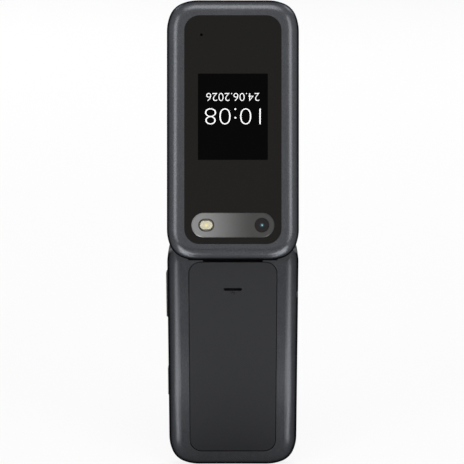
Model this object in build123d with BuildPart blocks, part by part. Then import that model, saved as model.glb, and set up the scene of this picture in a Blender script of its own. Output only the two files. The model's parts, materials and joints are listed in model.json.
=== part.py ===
from build123d import *
from math import acos, atan2, cos, radians, sin, sqrt
import os

os.makedirs("parts", exist_ok=True)

# A clamshell phone, open, standing on the end of its base.
# X runs across, +Z up the base, +Y out of the base's back; the keypad faces -Y.
# Places are given from the hinge axis: x across, q along a half, r behind the axis.

# ---------------------------------------------------------------- driving sizes
REACH = 100.5  # hinge axis to the far end of either half
BASE_WIDTH = 55.2
LID_INSET = 0.1  # the lid's side lies this far inside the base's
OPEN_ANGLE = 163.0
BASE_FRONT = -1.9  # keypad side of the base
BASE_THICKNESS = 9.4
LID_THICKNESS = 9.2
CLOSED_GAP = 0.3  # between the halves when shut
LID_LIP = 7.8  # how far the lid reaches past the axis

BARREL_RADIUS = 6.0
HINGE_GAP = 0.3  # running clearance round the barrels
NOTCH_HALF = 12.5  # the lid's barrel turns in this notch
BARREL_END_GAP = 0.2
EASE_START = 6.5  # below the axis, where the back starts to slope to the barrel

CORNER_SIDE_RADIUS = 18.0
CORNER_TIP_RADIUS = 9.0
CORNER_EASE = 22.0  # degrees of the wide arcs at each end of a corner
SHOULDER_SCALE = 1.12  # the shoulders' corners are rounder

LID_EDGE = 5.6  # outer edge rounding
BASE_EDGE = 5.5
FRONT_EDGE = 0.9

WALL = 1.7
SLIP = 0.1  # gap round a piece that is laid in a recess
LAYER_GAP = 0.05  # gap between stacked pieces
PAST = 1.0  # how far a cut runs on past the face that it opens
KEY_GAP = 0.2
KEY_FLANGE = 0.45  # a key's foot reaches this far past its cap
KEY_TRAVEL = 0.3
SCREW_DIAMETER = 1.4
SCREW_HEAD = 2.4
SCREW_HEAD_HEIGHT = 0.8
SCREW_CROSS = (1.5, 0.4)

# Levels in the base, measured from the axis plane towards the back
BASE_BACK = BASE_FRONT + BASE_THICKNESS
FIELD_DEPTH = 0.4  # the keypad lies this far below the rim
FIELD = BASE_FRONT + FIELD_DEPTH
BEZEL_PLATE = 0.7
BEZEL_BACK = FIELD + BEZEL_PLATE
RIM_HEIGHT = 1.5  # of the bezel's edge, up to where it meets the housing
BASE_SPLIT = BASE_FRONT + RIM_HEIGHT
KEY_PROUD = 0.3
NAV_PROUD = 0.2
KEY_TOP = FIELD - KEY_PROUD
NAV_TOP = FIELD - NAV_PROUD
FLANGE_TOP = BEZEL_BACK + LAYER_GAP
FLANGE_THICKNESS = 0.3
FLANGE_BACK = FLANGE_TOP + FLANGE_THICKNESS
MAT_FRONT = FLANGE_BACK + KEY_TRAVEL + LAYER_GAP
MAT_THICKNESS = 0.3
DOME_GAP = 0.08
DOME_FRONT = MAT_FRONT + MAT_THICKNESS + DOME_GAP
DOME_THICKNESS = 0.17
BOARD_FRONT = DOME_FRONT + DOME_THICKNESS + LAYER_GAP
BOARD_THICKNESS = 0.6
BOARD_BACK = BOARD_FRONT + BOARD_THICKNESS
MOUNTED = BOARD_BACK + LAYER_GAP  # where parts on the board's back start
BAY_FLOOR_FRONT = BOARD_BACK + 0.25
BAY_FLOOR_THICKNESS = 0.5
BATTERY_THICKNESS = 4.2
BATTERY_FRONT = BAY_FLOOR_FRONT + BAY_FLOOR_THICKNESS + SLIP
BATTERY_BACK = BATTERY_FRONT + BATTERY_THICKNESS
COVER_THICKNESS = 1.2
COVER_FRONT = BASE_BACK - COVER_THICKNESS
DECK_THICKNESS = 1.0
SIDE_CAVITY_BACK = 3.4  # cavity beside the bay, under the rounded edge

# Walls and ends in the base
BASE_HALF = BASE_WIDTH / 2
CAVITY_HALF = BASE_HALF - WALL
CAVITY_TOP_WALL = 1.9
CAVITY_TOP = -(BARREL_RADIUS + HINGE_GAP + CAVITY_TOP_WALL)
CAVITY_LOW = -REACH + WALL
CAVITY_MIDDLE = (CAVITY_TOP + CAVITY_LOW) / 2
CAVITY_LAP = 10.0  # the square and the round part of the cavity overlap by twice this
CAVITY_RADIUS = 10.0
BEZEL_TOP = CAVITY_TOP + 0.8
FIELD_TOP = BEZEL_TOP - 1.2
FIELD_LOW = -REACH + 7.5
FIELD_RADIUS = 5.0

# Battery cover and bay
COVER_INSET = 9.25  # from the base's side
COVER_WIDTH = BASE_WIDTH - 2 * COVER_INSET
COVER_TOP = -6.7
COVER_LOW = -REACH + 8.1
COVER_RADIUS = 5.0
COVER_GAP = 0.25
RECESS_TOP = COVER_TOP + COVER_GAP
COVER_LEDGE = 1.15  # the cover laps over the battery by this much at each side
COVER_LOW_LEDGE = 4.1
BATTERY_WIDTH = COVER_WIDTH - 2 * COVER_LEDGE
BATTERY_TOP = -38.3
BATTERY_LOW = COVER_LOW + COVER_LOW_LEDGE
BAY_CLEARANCE = 0.3
BAY_WALL = 1.2
BAY_TOP = -26.3
BAY_LOW = BATTERY_LOW - BAY_CLEARANCE
BAY_WIDTH = BATTERY_WIDTH + 2 * BAY_CLEARANCE
DECK_FRONT = COVER_FRONT - DECK_THICKNESS

# Sound and ports
SPEAKER_SLOT = (7.6, 1.3)
SPEAKER_Q = -18.7
SPEAKER_SIZE = (15.0, 11.0)
SPEAKER_HEIGHT = 3.1
SPEAKER_FOOT = (6.0, 4.0)
SPEAKER_ROOM = (15.8, 13.6)
SPEAKER_ROOM_Q = SPEAKER_Q + 0.7
SPEAKER_MOUTH = (SPEAKER_SLOT[0] + 1.4, 3.4)
NUB_Q = -20.2
NUB_DIAMETER = 0.8
NUB_PROUD = 0.3
MOTOR_DIAMETER = 8.0
MOTOR_HEIGHT = 2.7
MOTOR_ROOM = 0.3
MOTOR_PLACE = (BASE_HALF - 14.4, -16.2)
JACK_Q = -22.4
JACK_R = 3.3
JACK_BORE = 3.6
JACK_ENTRY = 4.2
JACK_BODY = (13.0, 6.4, 4.3)
JACK_DEPTH = 12.0
JACK_START = -CAVITY_HALF + 0.4
USB_SIZE = (7.5, 5.8, 2.5)
USB_INSET = 0.4
USB_ROOM = 0.25
USB_Q = -REACH + USB_INSET + USB_SIZE[1] / 2
CONTACT_X = 8.0
CONTACT_R = BASE_SPLIT + 1.05
CONTACT_DIAMETER = 1.8
CONTACT_INSET = 0.05
MIC_X = BASE_HALF - 12.6
MIC_SIZE = (4.0, 3.0, 1.1)
MIC_HOLE = 1.0
ANTENNA_SIZE = (11.0, 3.6, 2.1)

# Side keys, on the +X side
VOLUME_LENGTH = 19.9
VOLUME_Q = -22.45
VOLUME_PROUD = 0.5
SOS_LENGTH = 12.35
SOS_Q = -61.8
SOS_PROUD = 0.2
SOS_FLANGE = (0.35, 0.7)  # thickness, and reach past each end
SIDE_KEY_WIDTH = 3.0
SIDE_KEY_R = 1.7
SIDE_KEY_FRONT = SIDE_KEY_R - SIDE_KEY_WIDTH / 2
SIDE_KEY_DEPTH = 2.1  # from the base's side inwards
SIDE_KEY_GAP = 0.3
PIVOT_DIAMETER = 1.0
PIVOT_PIN = 0.5
PIVOT_X = BASE_HALF - WALL / 2
SWITCH_SPACE = 1.0
SWITCH_X = BASE_HALF - SIDE_KEY_DEPTH - SWITCH_SPACE
BOARD_HALF = SWITCH_X - SLIP

# Keypad: four rows of number keys below the call keys, soft keys and the four-way ring
NAV_SIZE = 24.0
NAV_RADIUS = 8.0
NAV_GAP = 0.4
OK_SIZE = 10.5
OK_RADIUS = 4.0
OK_GAP = 0.6
KEY_ROW_SPACE = 2.7
SOFT_SIDE = 2.25  # from the base's side to a soft key
SOFT_NAV_SPACE = 1.85
SOFT_HEIGHT = 12.6
SOFT_RADIUS = 3.0
SOFT_TOP = FIELD_TOP - 1.4
SOFT_OUTER = BASE_HALF - SOFT_SIDE
SOFT_INNER = NAV_SIZE / 2 + SOFT_NAV_SPACE
SOFT_SIZE = (SOFT_OUTER - SOFT_INNER, SOFT_HEIGHT)
SOFT_X = (SOFT_OUTER + SOFT_INNER) / 2
SOFT_Q = SOFT_TOP - SOFT_HEIGHT / 2
CALL_Q = SOFT_Q - SOFT_HEIGHT - KEY_ROW_SPACE
NAV_Q = (SOFT_Q + CALL_Q) / 2
NUMBER_SIDE = 3.0
NUMBER_SPACE = (1.5, 1.3)
NUMBER_RADIUS = 2.4
NUMBER_TOP = CALL_Q - SOFT_HEIGHT / 2 - KEY_ROW_SPACE
NUMBER_LOW = -REACH + 11.2
NUMBER_PITCH = ((BASE_WIDTH - 2 * NUMBER_SIDE + NUMBER_SPACE[0]) / 3,
                (NUMBER_TOP - NUMBER_LOW + NUMBER_SPACE[1]) / 4)
NUMBER_KEY = (NUMBER_PITCH[0] - NUMBER_SPACE[0], NUMBER_PITCH[1] - NUMBER_SPACE[1])
PLUNGER_DIAMETER = 3.0
PLUNGER_TIP = DOME_FRONT - KEY_TRAVEL - LAYER_GAP
POCKET_SPACE = 0.15
POCKET_TOP = SOFT_TOP + KEY_FLANGE + POCKET_SPACE
POCKET_LOW = NUMBER_LOW - KEY_FLANGE - POCKET_SPACE

# Screws through the base: two beside the loudspeaker and two below the bay
TOP_SCREW_X = SPEAKER_ROOM[0] / 2 + 2.6
TOP_SCREW_Q = CAVITY_TOP - 1.6
LOW_SCREW_X = BASE_HALF - 13.1
LOW_SCREW_Q = BAY_LOW - 2.6
BASE_SCREWS = ((-TOP_SCREW_X, TOP_SCREW_Q), (TOP_SCREW_X, TOP_SCREW_Q),
               (-LOW_SCREW_X, LOW_SCREW_Q), (LOW_SCREW_X, LOW_SCREW_Q))
BOSS_DIAMETER = 2.8
PILLAR_DIAMETER = BOSS_DIAMETER + 1.0
BOSS_ROOM = BOSS_DIAMETER + 0.4
SCREW_HOLE = SCREW_DIAMETER + SLIP
SCREW_SEAT = COVER_FRONT - SCREW_HEAD_HEIGHT - SLIP
SCREW_TIP = BEZEL_BACK + 0.4

# Lid levels, measured from the axis plane towards its outer face
LID_FRONT = -BASE_FRONT + CLOSED_GAP
LID_BACK = LID_FRONT + LID_THICKNESS
LID_SPLIT = LID_FRONT + 2.4
WINDOW_THICKNESS = 1.0
WEB_FRONT = LID_FRONT + WINDOW_THICKNESS
WEB_THICKNESS = 0.6
WEB_BACK = WEB_FRONT + WEB_THICKNESS
DISPLAY_FRONT = WEB_BACK + LAYER_GAP
DISPLAY_THICKNESS = 2.2
LID_BOARD_FRONT = DISPLAY_FRONT + DISPLAY_THICKNESS + SLIP
LID_BOARD_BACK = LID_BOARD_FRONT + BOARD_THICKNESS
OUTER_SEAT = LID_BACK - WINDOW_THICKNESS
LID_FLOOR = OUTER_SEAT - 1.4  # inner side of the rear shell's floor

# Lid plan
LID_WIDTH = BASE_WIDTH - 2 * LID_INSET
LID_HALF = LID_WIDTH / 2
LID_CAVITY_HALF = LID_HALF - WALL - SLIP
LID_CAVITY_LOW = 12.0
LID_CAVITY_HIGH = REACH - WALL
LID_CAVITY_RADIUS = 9.0
LID_SQUARE_HIGH = REACH - 15.5  # the deep part of the cavity ends here
OUTER_WINDOW_SIDE = 7.45  # from the lid's side
OUTER_WINDOW_LOW = -0.95
OUTER_WINDOW_HIGH = REACH - 6.95
OUTER_WINDOW_RADIUS = 6.3
INNER_WINDOW_SIDE = 2.2
INNER_WINDOW_LOW = 12.2
INNER_WINDOW_HIGH = REACH - 6.7
INNER_WINDOW_RADIUS = 4.0
MAIN_DISPLAY_SIDE = 2.5
MAIN_DISPLAY_LOW = 14.7
MAIN_DISPLAY_HIGH = REACH - 16.6
MAIN_VIEW_SIDE = 5.7
MAIN_VIEW_LOW = 23.6
MAIN_VIEW_HIGH = REACH - 18.9
COVER_DISPLAY_SIDE = 10.5
COVER_DISPLAY_LOW = 28.3
COVER_DISPLAY_HIGH = REACH - 25.5
LID_BOARD_SIDE = 5.0
LID_BOARD_LOW = LID_CAVITY_LOW + 1.4
LID_BOARD_HIGH = REACH - 17.5
LID_PLUG = (10.0, 6.0, 1.0)
LID_PLUG_Q = 22.0
CAMERA_BAR_SIDE = 10.35
CAMERA_BAR = (LID_WIDTH - 2 * CAMERA_BAR_SIDE, 10.1)
CAMERA_BAR_Q = 6.85
CAMERA_BAR_PROUD = 0.4
CAMERA_X = -(CAMERA_BAR[0] / 2 - 5.15)
CAMERA_WINDOW = 5.9
CAMERA_BODY = 6.5
CAMERA_BARREL = 5.0
FLASH_X = CAMERA_BAR[0] / 2 - 6.15
FLASH_RING = (6.0, 4.25)
FLASH_RIM = 0.45
FLASH_LENS = (FLASH_RING[0] - 2 * FLASH_RIM, FLASH_RING[1] - 2 * FLASH_RIM)
LID_MIC = (LID_HALF - 14.5, REACH - 15.0)
LID_MIC_DIAMETER = 1.1
EARPIECE_Q = REACH - 11.7
EARPIECE = (12.0, 6.0)
EAR_SLOT = (9.0, 1.4)
LID_SCREWS_LOW = (LID_HALF - 7.5, 9.0)
LID_SCREWS_HIGH = (LID_HALF - 11.0, REACH - 3.3)
BUMPER_PLACES = [(side * LID_SCREWS_HIGH[0], LID_SCREWS_HIGH[1]) for side in (-1, 1)]
LID_SCREW_PLACES = [(side * LID_SCREWS_LOW[0], LID_SCREWS_LOW[1]) for side in (-1, 1)] + BUMPER_PLACES
LID_SCREW_SEAT = LID_FRONT + 0.6
LID_SCREW_LENGTH = 4.2
BUMPER_DIAMETER = 3.0
BUMPER_PROUD = 0.2
BUMPER_THICKNESS = 0.7

# Hinge parts
BARREL_HALF = NOTCH_HALF - BARREL_END_GAP
BORE_DIAMETER = 7.0
BORE_END = BASE_HALF - 2.2
CARTRIDGE_DIAMETER = 6.8
SHAFT_DIAMETER = 2.2
SHAFT_HEAD = 4.4
SHAFT_HEAD_START = 5.0
BUSH_NOSE = 4.9
BUSH_NOSE_LENGTH = 4.0
BUSH_BORE = 3.8
FLEX_OUTER = 3.4
FLEX_START = -BORE_END + 5.4
FLEX_X = -6.0
FLEX_WIDTH = 3.6
FLEX_THICKNESS = 0.2
FLEX_LEVEL = LID_SPLIT - 0.25
FLEX_WAY = FLEX_WIDTH + 0.6

LEAN = 180.0 - OPEN_ANGLE
AXIS_Y = -(BASE_FRONT + FRONT_EDGE + BASE_BACK - BASE_EDGE) / 2  # origin mid flat strip of the far end
AXIS_Z = REACH
LID_ALONG = Vector(0, -sin(radians(LEAN)), cos(radians(LEAN)))
LID_OUT = Vector(0, cos(radians(LEAN)), sin(radians(LEAN)))
AXIS = Vector(0, AXIS_Y, AXIS_Z)


def base_level(r):
    """Plane at level r of the base: its x is across, its y runs up the base, and it faces the keypad side."""
    return Plane(origin=AXIS + Vector(0, r, 0), x_dir=(1, 0, 0), z_dir=(0, -1, 0))


def lid_level(r):
    """Plane at level r of the lid, with its y along the lid away from the hinge."""
    return Plane(origin=AXIS + LID_OUT * r, x_dir=(1, 0, 0), z_dir=-LID_OUT)


def across(x):
    """Plane square to the hinge axis at x: its x is the level r and its y the place q in the base."""
    return Plane(origin=AXIS + Vector(x, 0, 0), x_dir=(0, 1, 0), z_dir=(1, 0, 0))


def plate(level, depth, size, centre=(0, 0), radius=0.0, mode=Mode.ADD):
    """A rectangular plate that runs back from its level plane by depth."""
    with BuildSketch(level) as outline:
        with Locations(centre):
            if radius:
                RectangleRounded(size[0], size[1], radius)
            else:
                Rectangle(size[0], size[1])
    extrude(outline.sketch, amount=-depth, mode=mode)


def disc(level, depth, diameter, centre=(0, 0), mode=Mode.ADD):
    """A round plate or pin that runs back from its level plane by depth."""
    with BuildSketch(level) as outline:
        with Locations(centre):
            Circle(diameter / 2)
    extrude(outline.sketch, amount=-depth, mode=mode)


def rod(start, end, diameter, mode=Mode.ADD):
    """A round bar about the hinge axis, from x = start to x = end."""
    with BuildSketch(across(start)) as section:
        Circle(diameter / 2)
    extrude(section.sketch, amount=end - start, mode=mode)


def soft_corner(start, tangent, scale):
    """Three tangent arcs through a right angle: wide, tight, wide."""
    first = JernArc(start, tangent, CORNER_SIDE_RADIUS * scale, CORNER_EASE)
    second = JernArc(first @ 1, first % 1, CORNER_TIP_RADIUS * scale, 90 - 2 * CORNER_EASE)
    return JernArc(second @ 1, second % 1, CORNER_SIDE_RADIUS * scale, CORNER_EASE)


def corner_reach(scale):
    """How far such a corner reaches along each of its sides."""
    wide = sin(radians(CORNER_EASE)) + 1 - cos(radians(CORNER_EASE))
    tight = cos(radians(CORNER_EASE)) - sin(radians(CORNER_EASE))
    return scale * (CORNER_SIDE_RADIUS * wide + CORNER_TIP_RADIUS * tight)


def body_outline(width, low, high, low_scale=1.0, high_scale=1.0):
    """Outline of a half of the phone, from q = low to q = high."""
    side = width / 2
    low_reach = corner_reach(low_scale)
    high_reach = corner_reach(high_scale)
    with BuildLine() as outline:
        right = Line((side, low + low_reach), (side, high - high_reach))
        top_right = soft_corner(right @ 1, (0, 1), high_scale)
        top = Line(top_right @ 1, (-side + high_reach, high))
        top_left = soft_corner(top @ 1, (-1, 0), high_scale)
        left = Line(top_left @ 1, (-side, low + low_reach))
        low_left = soft_corner(left @ 1, (0, -1), low_scale)
        bottom = Line(low_left @ 1, (side - low_reach, low))
        low_right = soft_corner(bottom @ 1, (1, 0), low_scale)
        Line(low_right @ 1, right @ 0)
    make_face(outline.edges())


def body_slab(level, depth, width, low, high, low_scale=1.0, high_scale=1.0, mode=Mode.ADD):
    with BuildSketch(level) as outline:
        body_outline(width, low, high, low_scale, high_scale)
    extrude(outline.sketch, amount=-depth, mode=mode)


def base_side_outline():
    """Side view of the base: a slab whose back slopes into the barrel about the hinge axis."""
    slope_start = Vector(BASE_BACK, -EASE_START)
    turn = atan2(slope_start.Y, slope_start.X) + acos(BARREL_RADIUS / slope_start.length)
    slope_end = Vector(BARREL_RADIUS * cos(turn), BARREL_RADIUS * sin(turn))
    foot = Vector(BASE_FRONT, -sqrt(BARREL_RADIUS**2 - BASE_FRONT**2))
    with BuildLine() as outline:
        Line((BASE_BACK, -REACH), slope_start)
        Line(slope_start, slope_end)
        ThreePointArc(slope_end, (-BARREL_RADIUS, 0), foot)
        Line(foot, (BASE_FRONT, -REACH))
        Line((BASE_FRONT, -REACH), (BASE_BACK, -REACH))
    make_face(outline.edges())


def end_level(q):
    """Plane square to the base's length at q: its x is across and its y the level r; it faces the hinge."""
    return Plane(origin=AXIS + Vector(0, 0, q), x_dir=(1, 0, 0), z_dir=(0, 0, 1))


def span(size, low, high):
    """Size and centre of a plate of the given width that runs from q = low to q = high."""
    return (size, high - low), (0, (low + high) / 2)


def grown(size, gap):
    """A plate's size with a gap added all round."""
    return tuple(side + 2 * gap for side in size)


def round_end(size):
    """Corner radius that rounds the ends of a slot of that size."""
    return min(size) / 2 - 0.01

# ---------------------------------------------------------------- the keys' sizes and places
COLUMNS = (-NUMBER_PITCH[0], 0.0, NUMBER_PITCH[0])
ROWS = [NUMBER_TOP - NUMBER_KEY[1] / 2 - row * NUMBER_PITCH[1] for row in range(4)]
NUMBER_NAMES = ("key_1", "key_2", "key_3", "key_4", "key_5", "key_6", "key_7", "key_8", "key_9",
                "key_star", "key_0", "key_hash")
KEYS = {}
for index, key_name in enumerate(NUMBER_NAMES):
    KEYS[key_name] = (NUMBER_KEY, NUMBER_RADIUS, (COLUMNS[index % 3], ROWS[index // 3]))
KEYS["key_soft_left"] = (SOFT_SIZE, SOFT_RADIUS, (-SOFT_X, SOFT_Q))
KEYS["key_soft_right"] = (SOFT_SIZE, SOFT_RADIUS, (SOFT_X, SOFT_Q))
KEYS["key_call"] = (SOFT_SIZE, SOFT_RADIUS, (-SOFT_X, CALL_Q))
KEYS["key_end"] = (SOFT_SIZE, SOFT_RADIUS, (SOFT_X, CALL_Q))

# ---------------------------------------------------------------- base envelope, shared by housing and bezel
with BuildPart() as base_envelope:
    body_slab(base_level(BASE_FRONT), BASE_THICKNESS, BASE_WIDTH, -REACH, BARREL_RADIUS, 1.0, SHOULDER_SCALE)
    fillet(faces().sort_by(Axis.Y)[-1].edges(), BASE_EDGE)
    fillet(faces().sort_by(Axis.Y)[0].edges(), FRONT_EDGE)
    with BuildSketch(across(-BASE_HALF)) as base_side:
        base_side_outline()
    extrude(base_side.sketch, amount=BASE_WIDTH, mode=Mode.INTERSECT)

with BuildPart() as shoulders:
    body_slab(base_level(-BARREL_RADIUS), 2 * BARREL_RADIUS, BASE_WIDTH, -REACH, BARREL_RADIUS, 1.0,
              SHOULDER_SCALE)
    with BuildSketch(across(-BASE_HALF)) as barrel_section:
        Circle(BARREL_RADIUS)
    extrude(barrel_section.sketch, amount=BASE_WIDTH, mode=Mode.INTERSECT)

# ---------------------------------------------------------------- base housing: the rear shell
SIDE_HOLLOW_WALL = 4.3  # under the rounded edge the hollow steps in from the side
SIDE_HOLLOW_DEPTH = 1.8
END_HOLLOW_SIDE = 9.6
END_HOLLOW_WALL = 3.0
END_HOLLOW_DEPTH = 1.1
TUB_LIP = 0.6  # of the tub past the bay's top
CONTACT_OPENING_SIDE = 0.3
CONTACT_OPENING_TOP = 0.2
CABLE_WAY = (5.0, 1.2)
CABLE_X = -BORE_END + 5.4
with BuildPart() as base_housing:
    add(base_envelope.part)
    add(shoulders.part)
    # the notch that the lid's barrel turns in
    rod(-NOTCH_HALF, NOTCH_HALF, 2 * (BARREL_RADIUS + HINGE_GAP), mode=Mode.SUBTRACT)
    notch_size, notch_centre = span(2 * NOTCH_HALF, 0, 2 * BARREL_RADIUS)
    plate(base_level(-2 * BARREL_RADIUS), 4 * BARREL_RADIUS, notch_size, notch_centre, mode=Mode.SUBTRACT)
    notch_size, notch_centre = span(2 * NOTCH_HALF, -BARREL_RADIUS - HINGE_GAP, 0)
    plate(base_level(0), 2 * BARREL_RADIUS, notch_size, notch_centre, mode=Mode.SUBTRACT)
    notch_size, notch_centre = span(2 * NOTCH_HALF, RECESS_TOP, 0)
    plate(base_level(COVER_FRONT), COVER_THICKNESS + PAST, notch_size, notch_centre, mode=Mode.SUBTRACT)
    # room for the keypad bezel
    front_size, front_centre = span(BASE_WIDTH + 2 * PAST, -REACH - PAST, BEZEL_TOP + LAYER_GAP)
    plate(base_level(BASE_FRONT - PAST), RIM_HEIGHT + PAST, front_size, front_centre, mode=Mode.SUBTRACT)
    # the cavity, square at the hinge end and round at the far end
    cavity_depth = SIDE_CAVITY_BACK - BASE_SPLIT
    cavity_size, cavity_centre = span(2 * CAVITY_HALF, CAVITY_MIDDLE - CAVITY_LAP, CAVITY_TOP)
    plate(base_level(BASE_SPLIT), cavity_depth, cavity_size, cavity_centre, mode=Mode.SUBTRACT)
    cavity_size, cavity_centre = span(2 * CAVITY_HALF, CAVITY_LOW, CAVITY_MIDDLE + CAVITY_LAP)
    plate(base_level(BASE_SPLIT), cavity_depth, cavity_size, cavity_centre, CAVITY_RADIUS, mode=Mode.SUBTRACT)
    hollow_size, hollow_centre = span(2 * (BASE_HALF - SIDE_HOLLOW_WALL), BAY_LOW, BAY_TOP - 2.0)
    plate(base_level(SIDE_CAVITY_BACK - PAST), SIDE_HOLLOW_DEPTH + PAST, hollow_size, hollow_centre, 2,
          mode=Mode.SUBTRACT)
    end_size, end_centre = span(2 * (BASE_HALF - END_HOLLOW_SIDE), -REACH + END_HOLLOW_WALL, LOW_SCREW_Q - 2.0)
    plate(base_level(SIDE_CAVITY_BACK - PAST), END_HOLLOW_DEPTH + PAST, end_size, end_centre, 1,
          mode=Mode.SUBTRACT)
    # the battery bay's tub and the recess for its cover
    tub_size, tub_centre = span(BAY_WIDTH + 2 * BAY_WALL, BAY_LOW - BAY_WALL, BAY_TOP + TUB_LIP)
    plate(base_level(BAY_FLOOR_FRONT), COVER_FRONT - BAY_FLOOR_FRONT, tub_size, tub_centre)
    for screw in BASE_SCREWS:
        disc(base_level(MOUNTED), COVER_FRONT - MOUNTED, PILLAR_DIAMETER, screw)
    cover_size, cover_centre = span(COVER_WIDTH, COVER_LOW, COVER_TOP)
    plate(base_level(COVER_FRONT), COVER_THICKNESS + PAST, grown(cover_size, COVER_GAP), cover_centre,
          COVER_RADIUS + COVER_GAP, mode=Mode.SUBTRACT)
    bay_size, bay_centre = span(BAY_WIDTH, BAY_LOW, BAY_TOP)
    plate(base_level(BATTERY_FRONT - SLIP), BATTERY_THICKNESS + 2 * PAST, bay_size, bay_centre, 1,
          mode=Mode.SUBTRACT)
    opening_size, opening_centre = span(BAY_WIDTH - 2 * CONTACT_OPENING_SIDE, BATTERY_TOP + BAY_CLEARANCE,
                                        BAY_TOP - CONTACT_OPENING_TOP)
    plate(base_level(BAY_FLOOR_FRONT - PAST), BAY_FLOOR_THICKNESS + 1.5 * PAST, opening_size, opening_centre,
          mode=Mode.SUBTRACT)
    # speaker, vibration motor and headphone socket
    plate(base_level(BOARD_BACK), DECK_FRONT - BOARD_BACK, SPEAKER_ROOM, (0, SPEAKER_ROOM_Q), 1,
          mode=Mode.SUBTRACT)
    plate(base_level(DECK_FRONT - PAST), DECK_THICKNESS + 2 * PAST, SPEAKER_MOUTH, (0, SPEAKER_Q), 1,
          mode=Mode.SUBTRACT)
    disc(base_level(BOARD_BACK), MOTOR_HEIGHT + 0.5, MOTOR_DIAMETER + 2 * MOTOR_ROOM, MOTOR_PLACE,
         mode=Mode.SUBTRACT)
    plate(base_level(BOARD_BACK), JACK_R + JACK_BODY[2] / 2 + SLIP - BOARD_BACK,
          (JACK_BODY[0] + 1.0, JACK_BODY[1] + 4 * SLIP), (JACK_START + SLIP + JACK_BODY[0] / 2, JACK_Q),
          mode=Mode.SUBTRACT)
    with BuildSketch(across(-BASE_HALF - PAST)):
        with Locations((JACK_R, JACK_Q)):
            Circle(JACK_ENTRY / 2)
    extrude(amount=WALL + 2 * PAST, mode=Mode.SUBTRACT)
    # screws from the bay side
    for screw in BASE_SCREWS:
        disc(base_level(BASE_SPLIT), COVER_FRONT - BASE_SPLIT, SCREW_HOLE, screw, mode=Mode.SUBTRACT)
        disc(base_level(SCREW_SEAT), SCREW_HEAD_HEIGHT + PAST, SCREW_HEAD + SLIP, screw, mode=Mode.SUBTRACT)
    # side keys with the rocker's pivot
    for length, q in ((VOLUME_LENGTH, VOLUME_Q), (SOS_LENGTH, SOS_Q)):
        plate(base_level(SIDE_KEY_FRONT - SLIP), SIDE_KEY_WIDTH + 2 * SLIP,
              (2 * (WALL + PAST), length + 2 * SIDE_KEY_GAP), (BASE_HALF, q), mode=Mode.SUBTRACT)
    disc(base_level(SIDE_KEY_FRONT - PIVOT_PIN - SLIP), SIDE_KEY_WIDTH + 2 * (PIVOT_PIN + SLIP),
         PIVOT_DIAMETER + 2 * SLIP, (PIVOT_X, VOLUME_Q), mode=Mode.SUBTRACT)
    # ports in the far end
    plate(base_level(MOUNTED - USB_ROOM), USB_SIZE[2] + 2 * USB_ROOM,
          (USB_SIZE[0] + 2 * USB_ROOM, 2 * (WALL + 1.5)), (0, -REACH), mode=Mode.SUBTRACT)
    with BuildSketch(end_level(-REACH - PAST)):
        with Locations((-CONTACT_X, CONTACT_R), (CONTACT_X, CONTACT_R)):
            Circle(CONTACT_DIAMETER / 2 + SLIP)
        with Locations((MIC_X, MOUNTED + MIC_SIZE[2] / 2)):
            Circle(MIC_HOLE / 2)
    extrude(amount=PAST + WALL + 0.5, mode=Mode.SUBTRACT)
    # bores for the hinge, and the cable's way down
    rod(NOTCH_HALF - PAST, BORE_END, BORE_DIAMETER, mode=Mode.SUBTRACT)
    rod(-BORE_END, -NOTCH_HALF + PAST, BORE_DIAMETER, mode=Mode.SUBTRACT)
    cable_size, cable_centre = span(CABLE_WAY[0], CAVITY_TOP - PAST, 0)
    plate(base_level(BASE_SPLIT + LAYER_GAP), CABLE_WAY[1], cable_size, (CABLE_X, cable_centre[1]),
          mode=Mode.SUBTRACT)
base_housing.part.label = "base_housing"
export_step(base_housing.part, "parts/base_housing.step")

# ---------------------------------------------------------------- keypad bezel: the front plate of the base
with BuildPart() as keypad_bezel:
    add(base_envelope.part)
    keep_size, keep_centre = span(BASE_WIDTH + 2 * PAST, -REACH - PAST, BEZEL_TOP)
    plate(base_level(BASE_FRONT - PAST), RIM_HEIGHT + PAST, keep_size, keep_centre, mode=Mode.INTERSECT)
    field_size, field_centre = span(2 * (CAVITY_HALF - 2 * SLIP), FIELD_LOW, FIELD_TOP)
    plate(base_level(BASE_FRONT - PAST), FIELD_DEPTH + PAST, field_size, field_centre, FIELD_RADIUS,
          mode=Mode.SUBTRACT)
    pocket_size, pocket_centre = span(2 * CAVITY_HALF, POCKET_LOW, POCKET_TOP)
    plate(base_level(BEZEL_BACK), PAST, pocket_size, pocket_centre, 1, mode=Mode.SUBTRACT)
    for size, radius, place in KEYS.values():
        plate(base_level(FIELD - PAST), BEZEL_PLATE + 2 * PAST, grown(size, KEY_GAP), place, radius + KEY_GAP,
              mode=Mode.SUBTRACT)
    plate(base_level(FIELD - PAST), BEZEL_PLATE + 2 * PAST, grown((NAV_SIZE, NAV_SIZE), NAV_GAP), (0, NAV_Q),
          NAV_RADIUS + NAV_GAP, mode=Mode.SUBTRACT)
    for screw in BASE_SCREWS:
        disc(base_level(BEZEL_BACK), BOARD_FRONT - LAYER_GAP - BEZEL_BACK, BOSS_DIAMETER, screw)
        disc(base_level(SCREW_TIP - SLIP), BOARD_FRONT + PAST - SCREW_TIP, SCREW_HOLE, screw, mode=Mode.SUBTRACT)
keypad_bezel.part.label = "keypad_bezel"
export_step(keypad_bezel.part, "parts/keypad_bezel.step")

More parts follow.
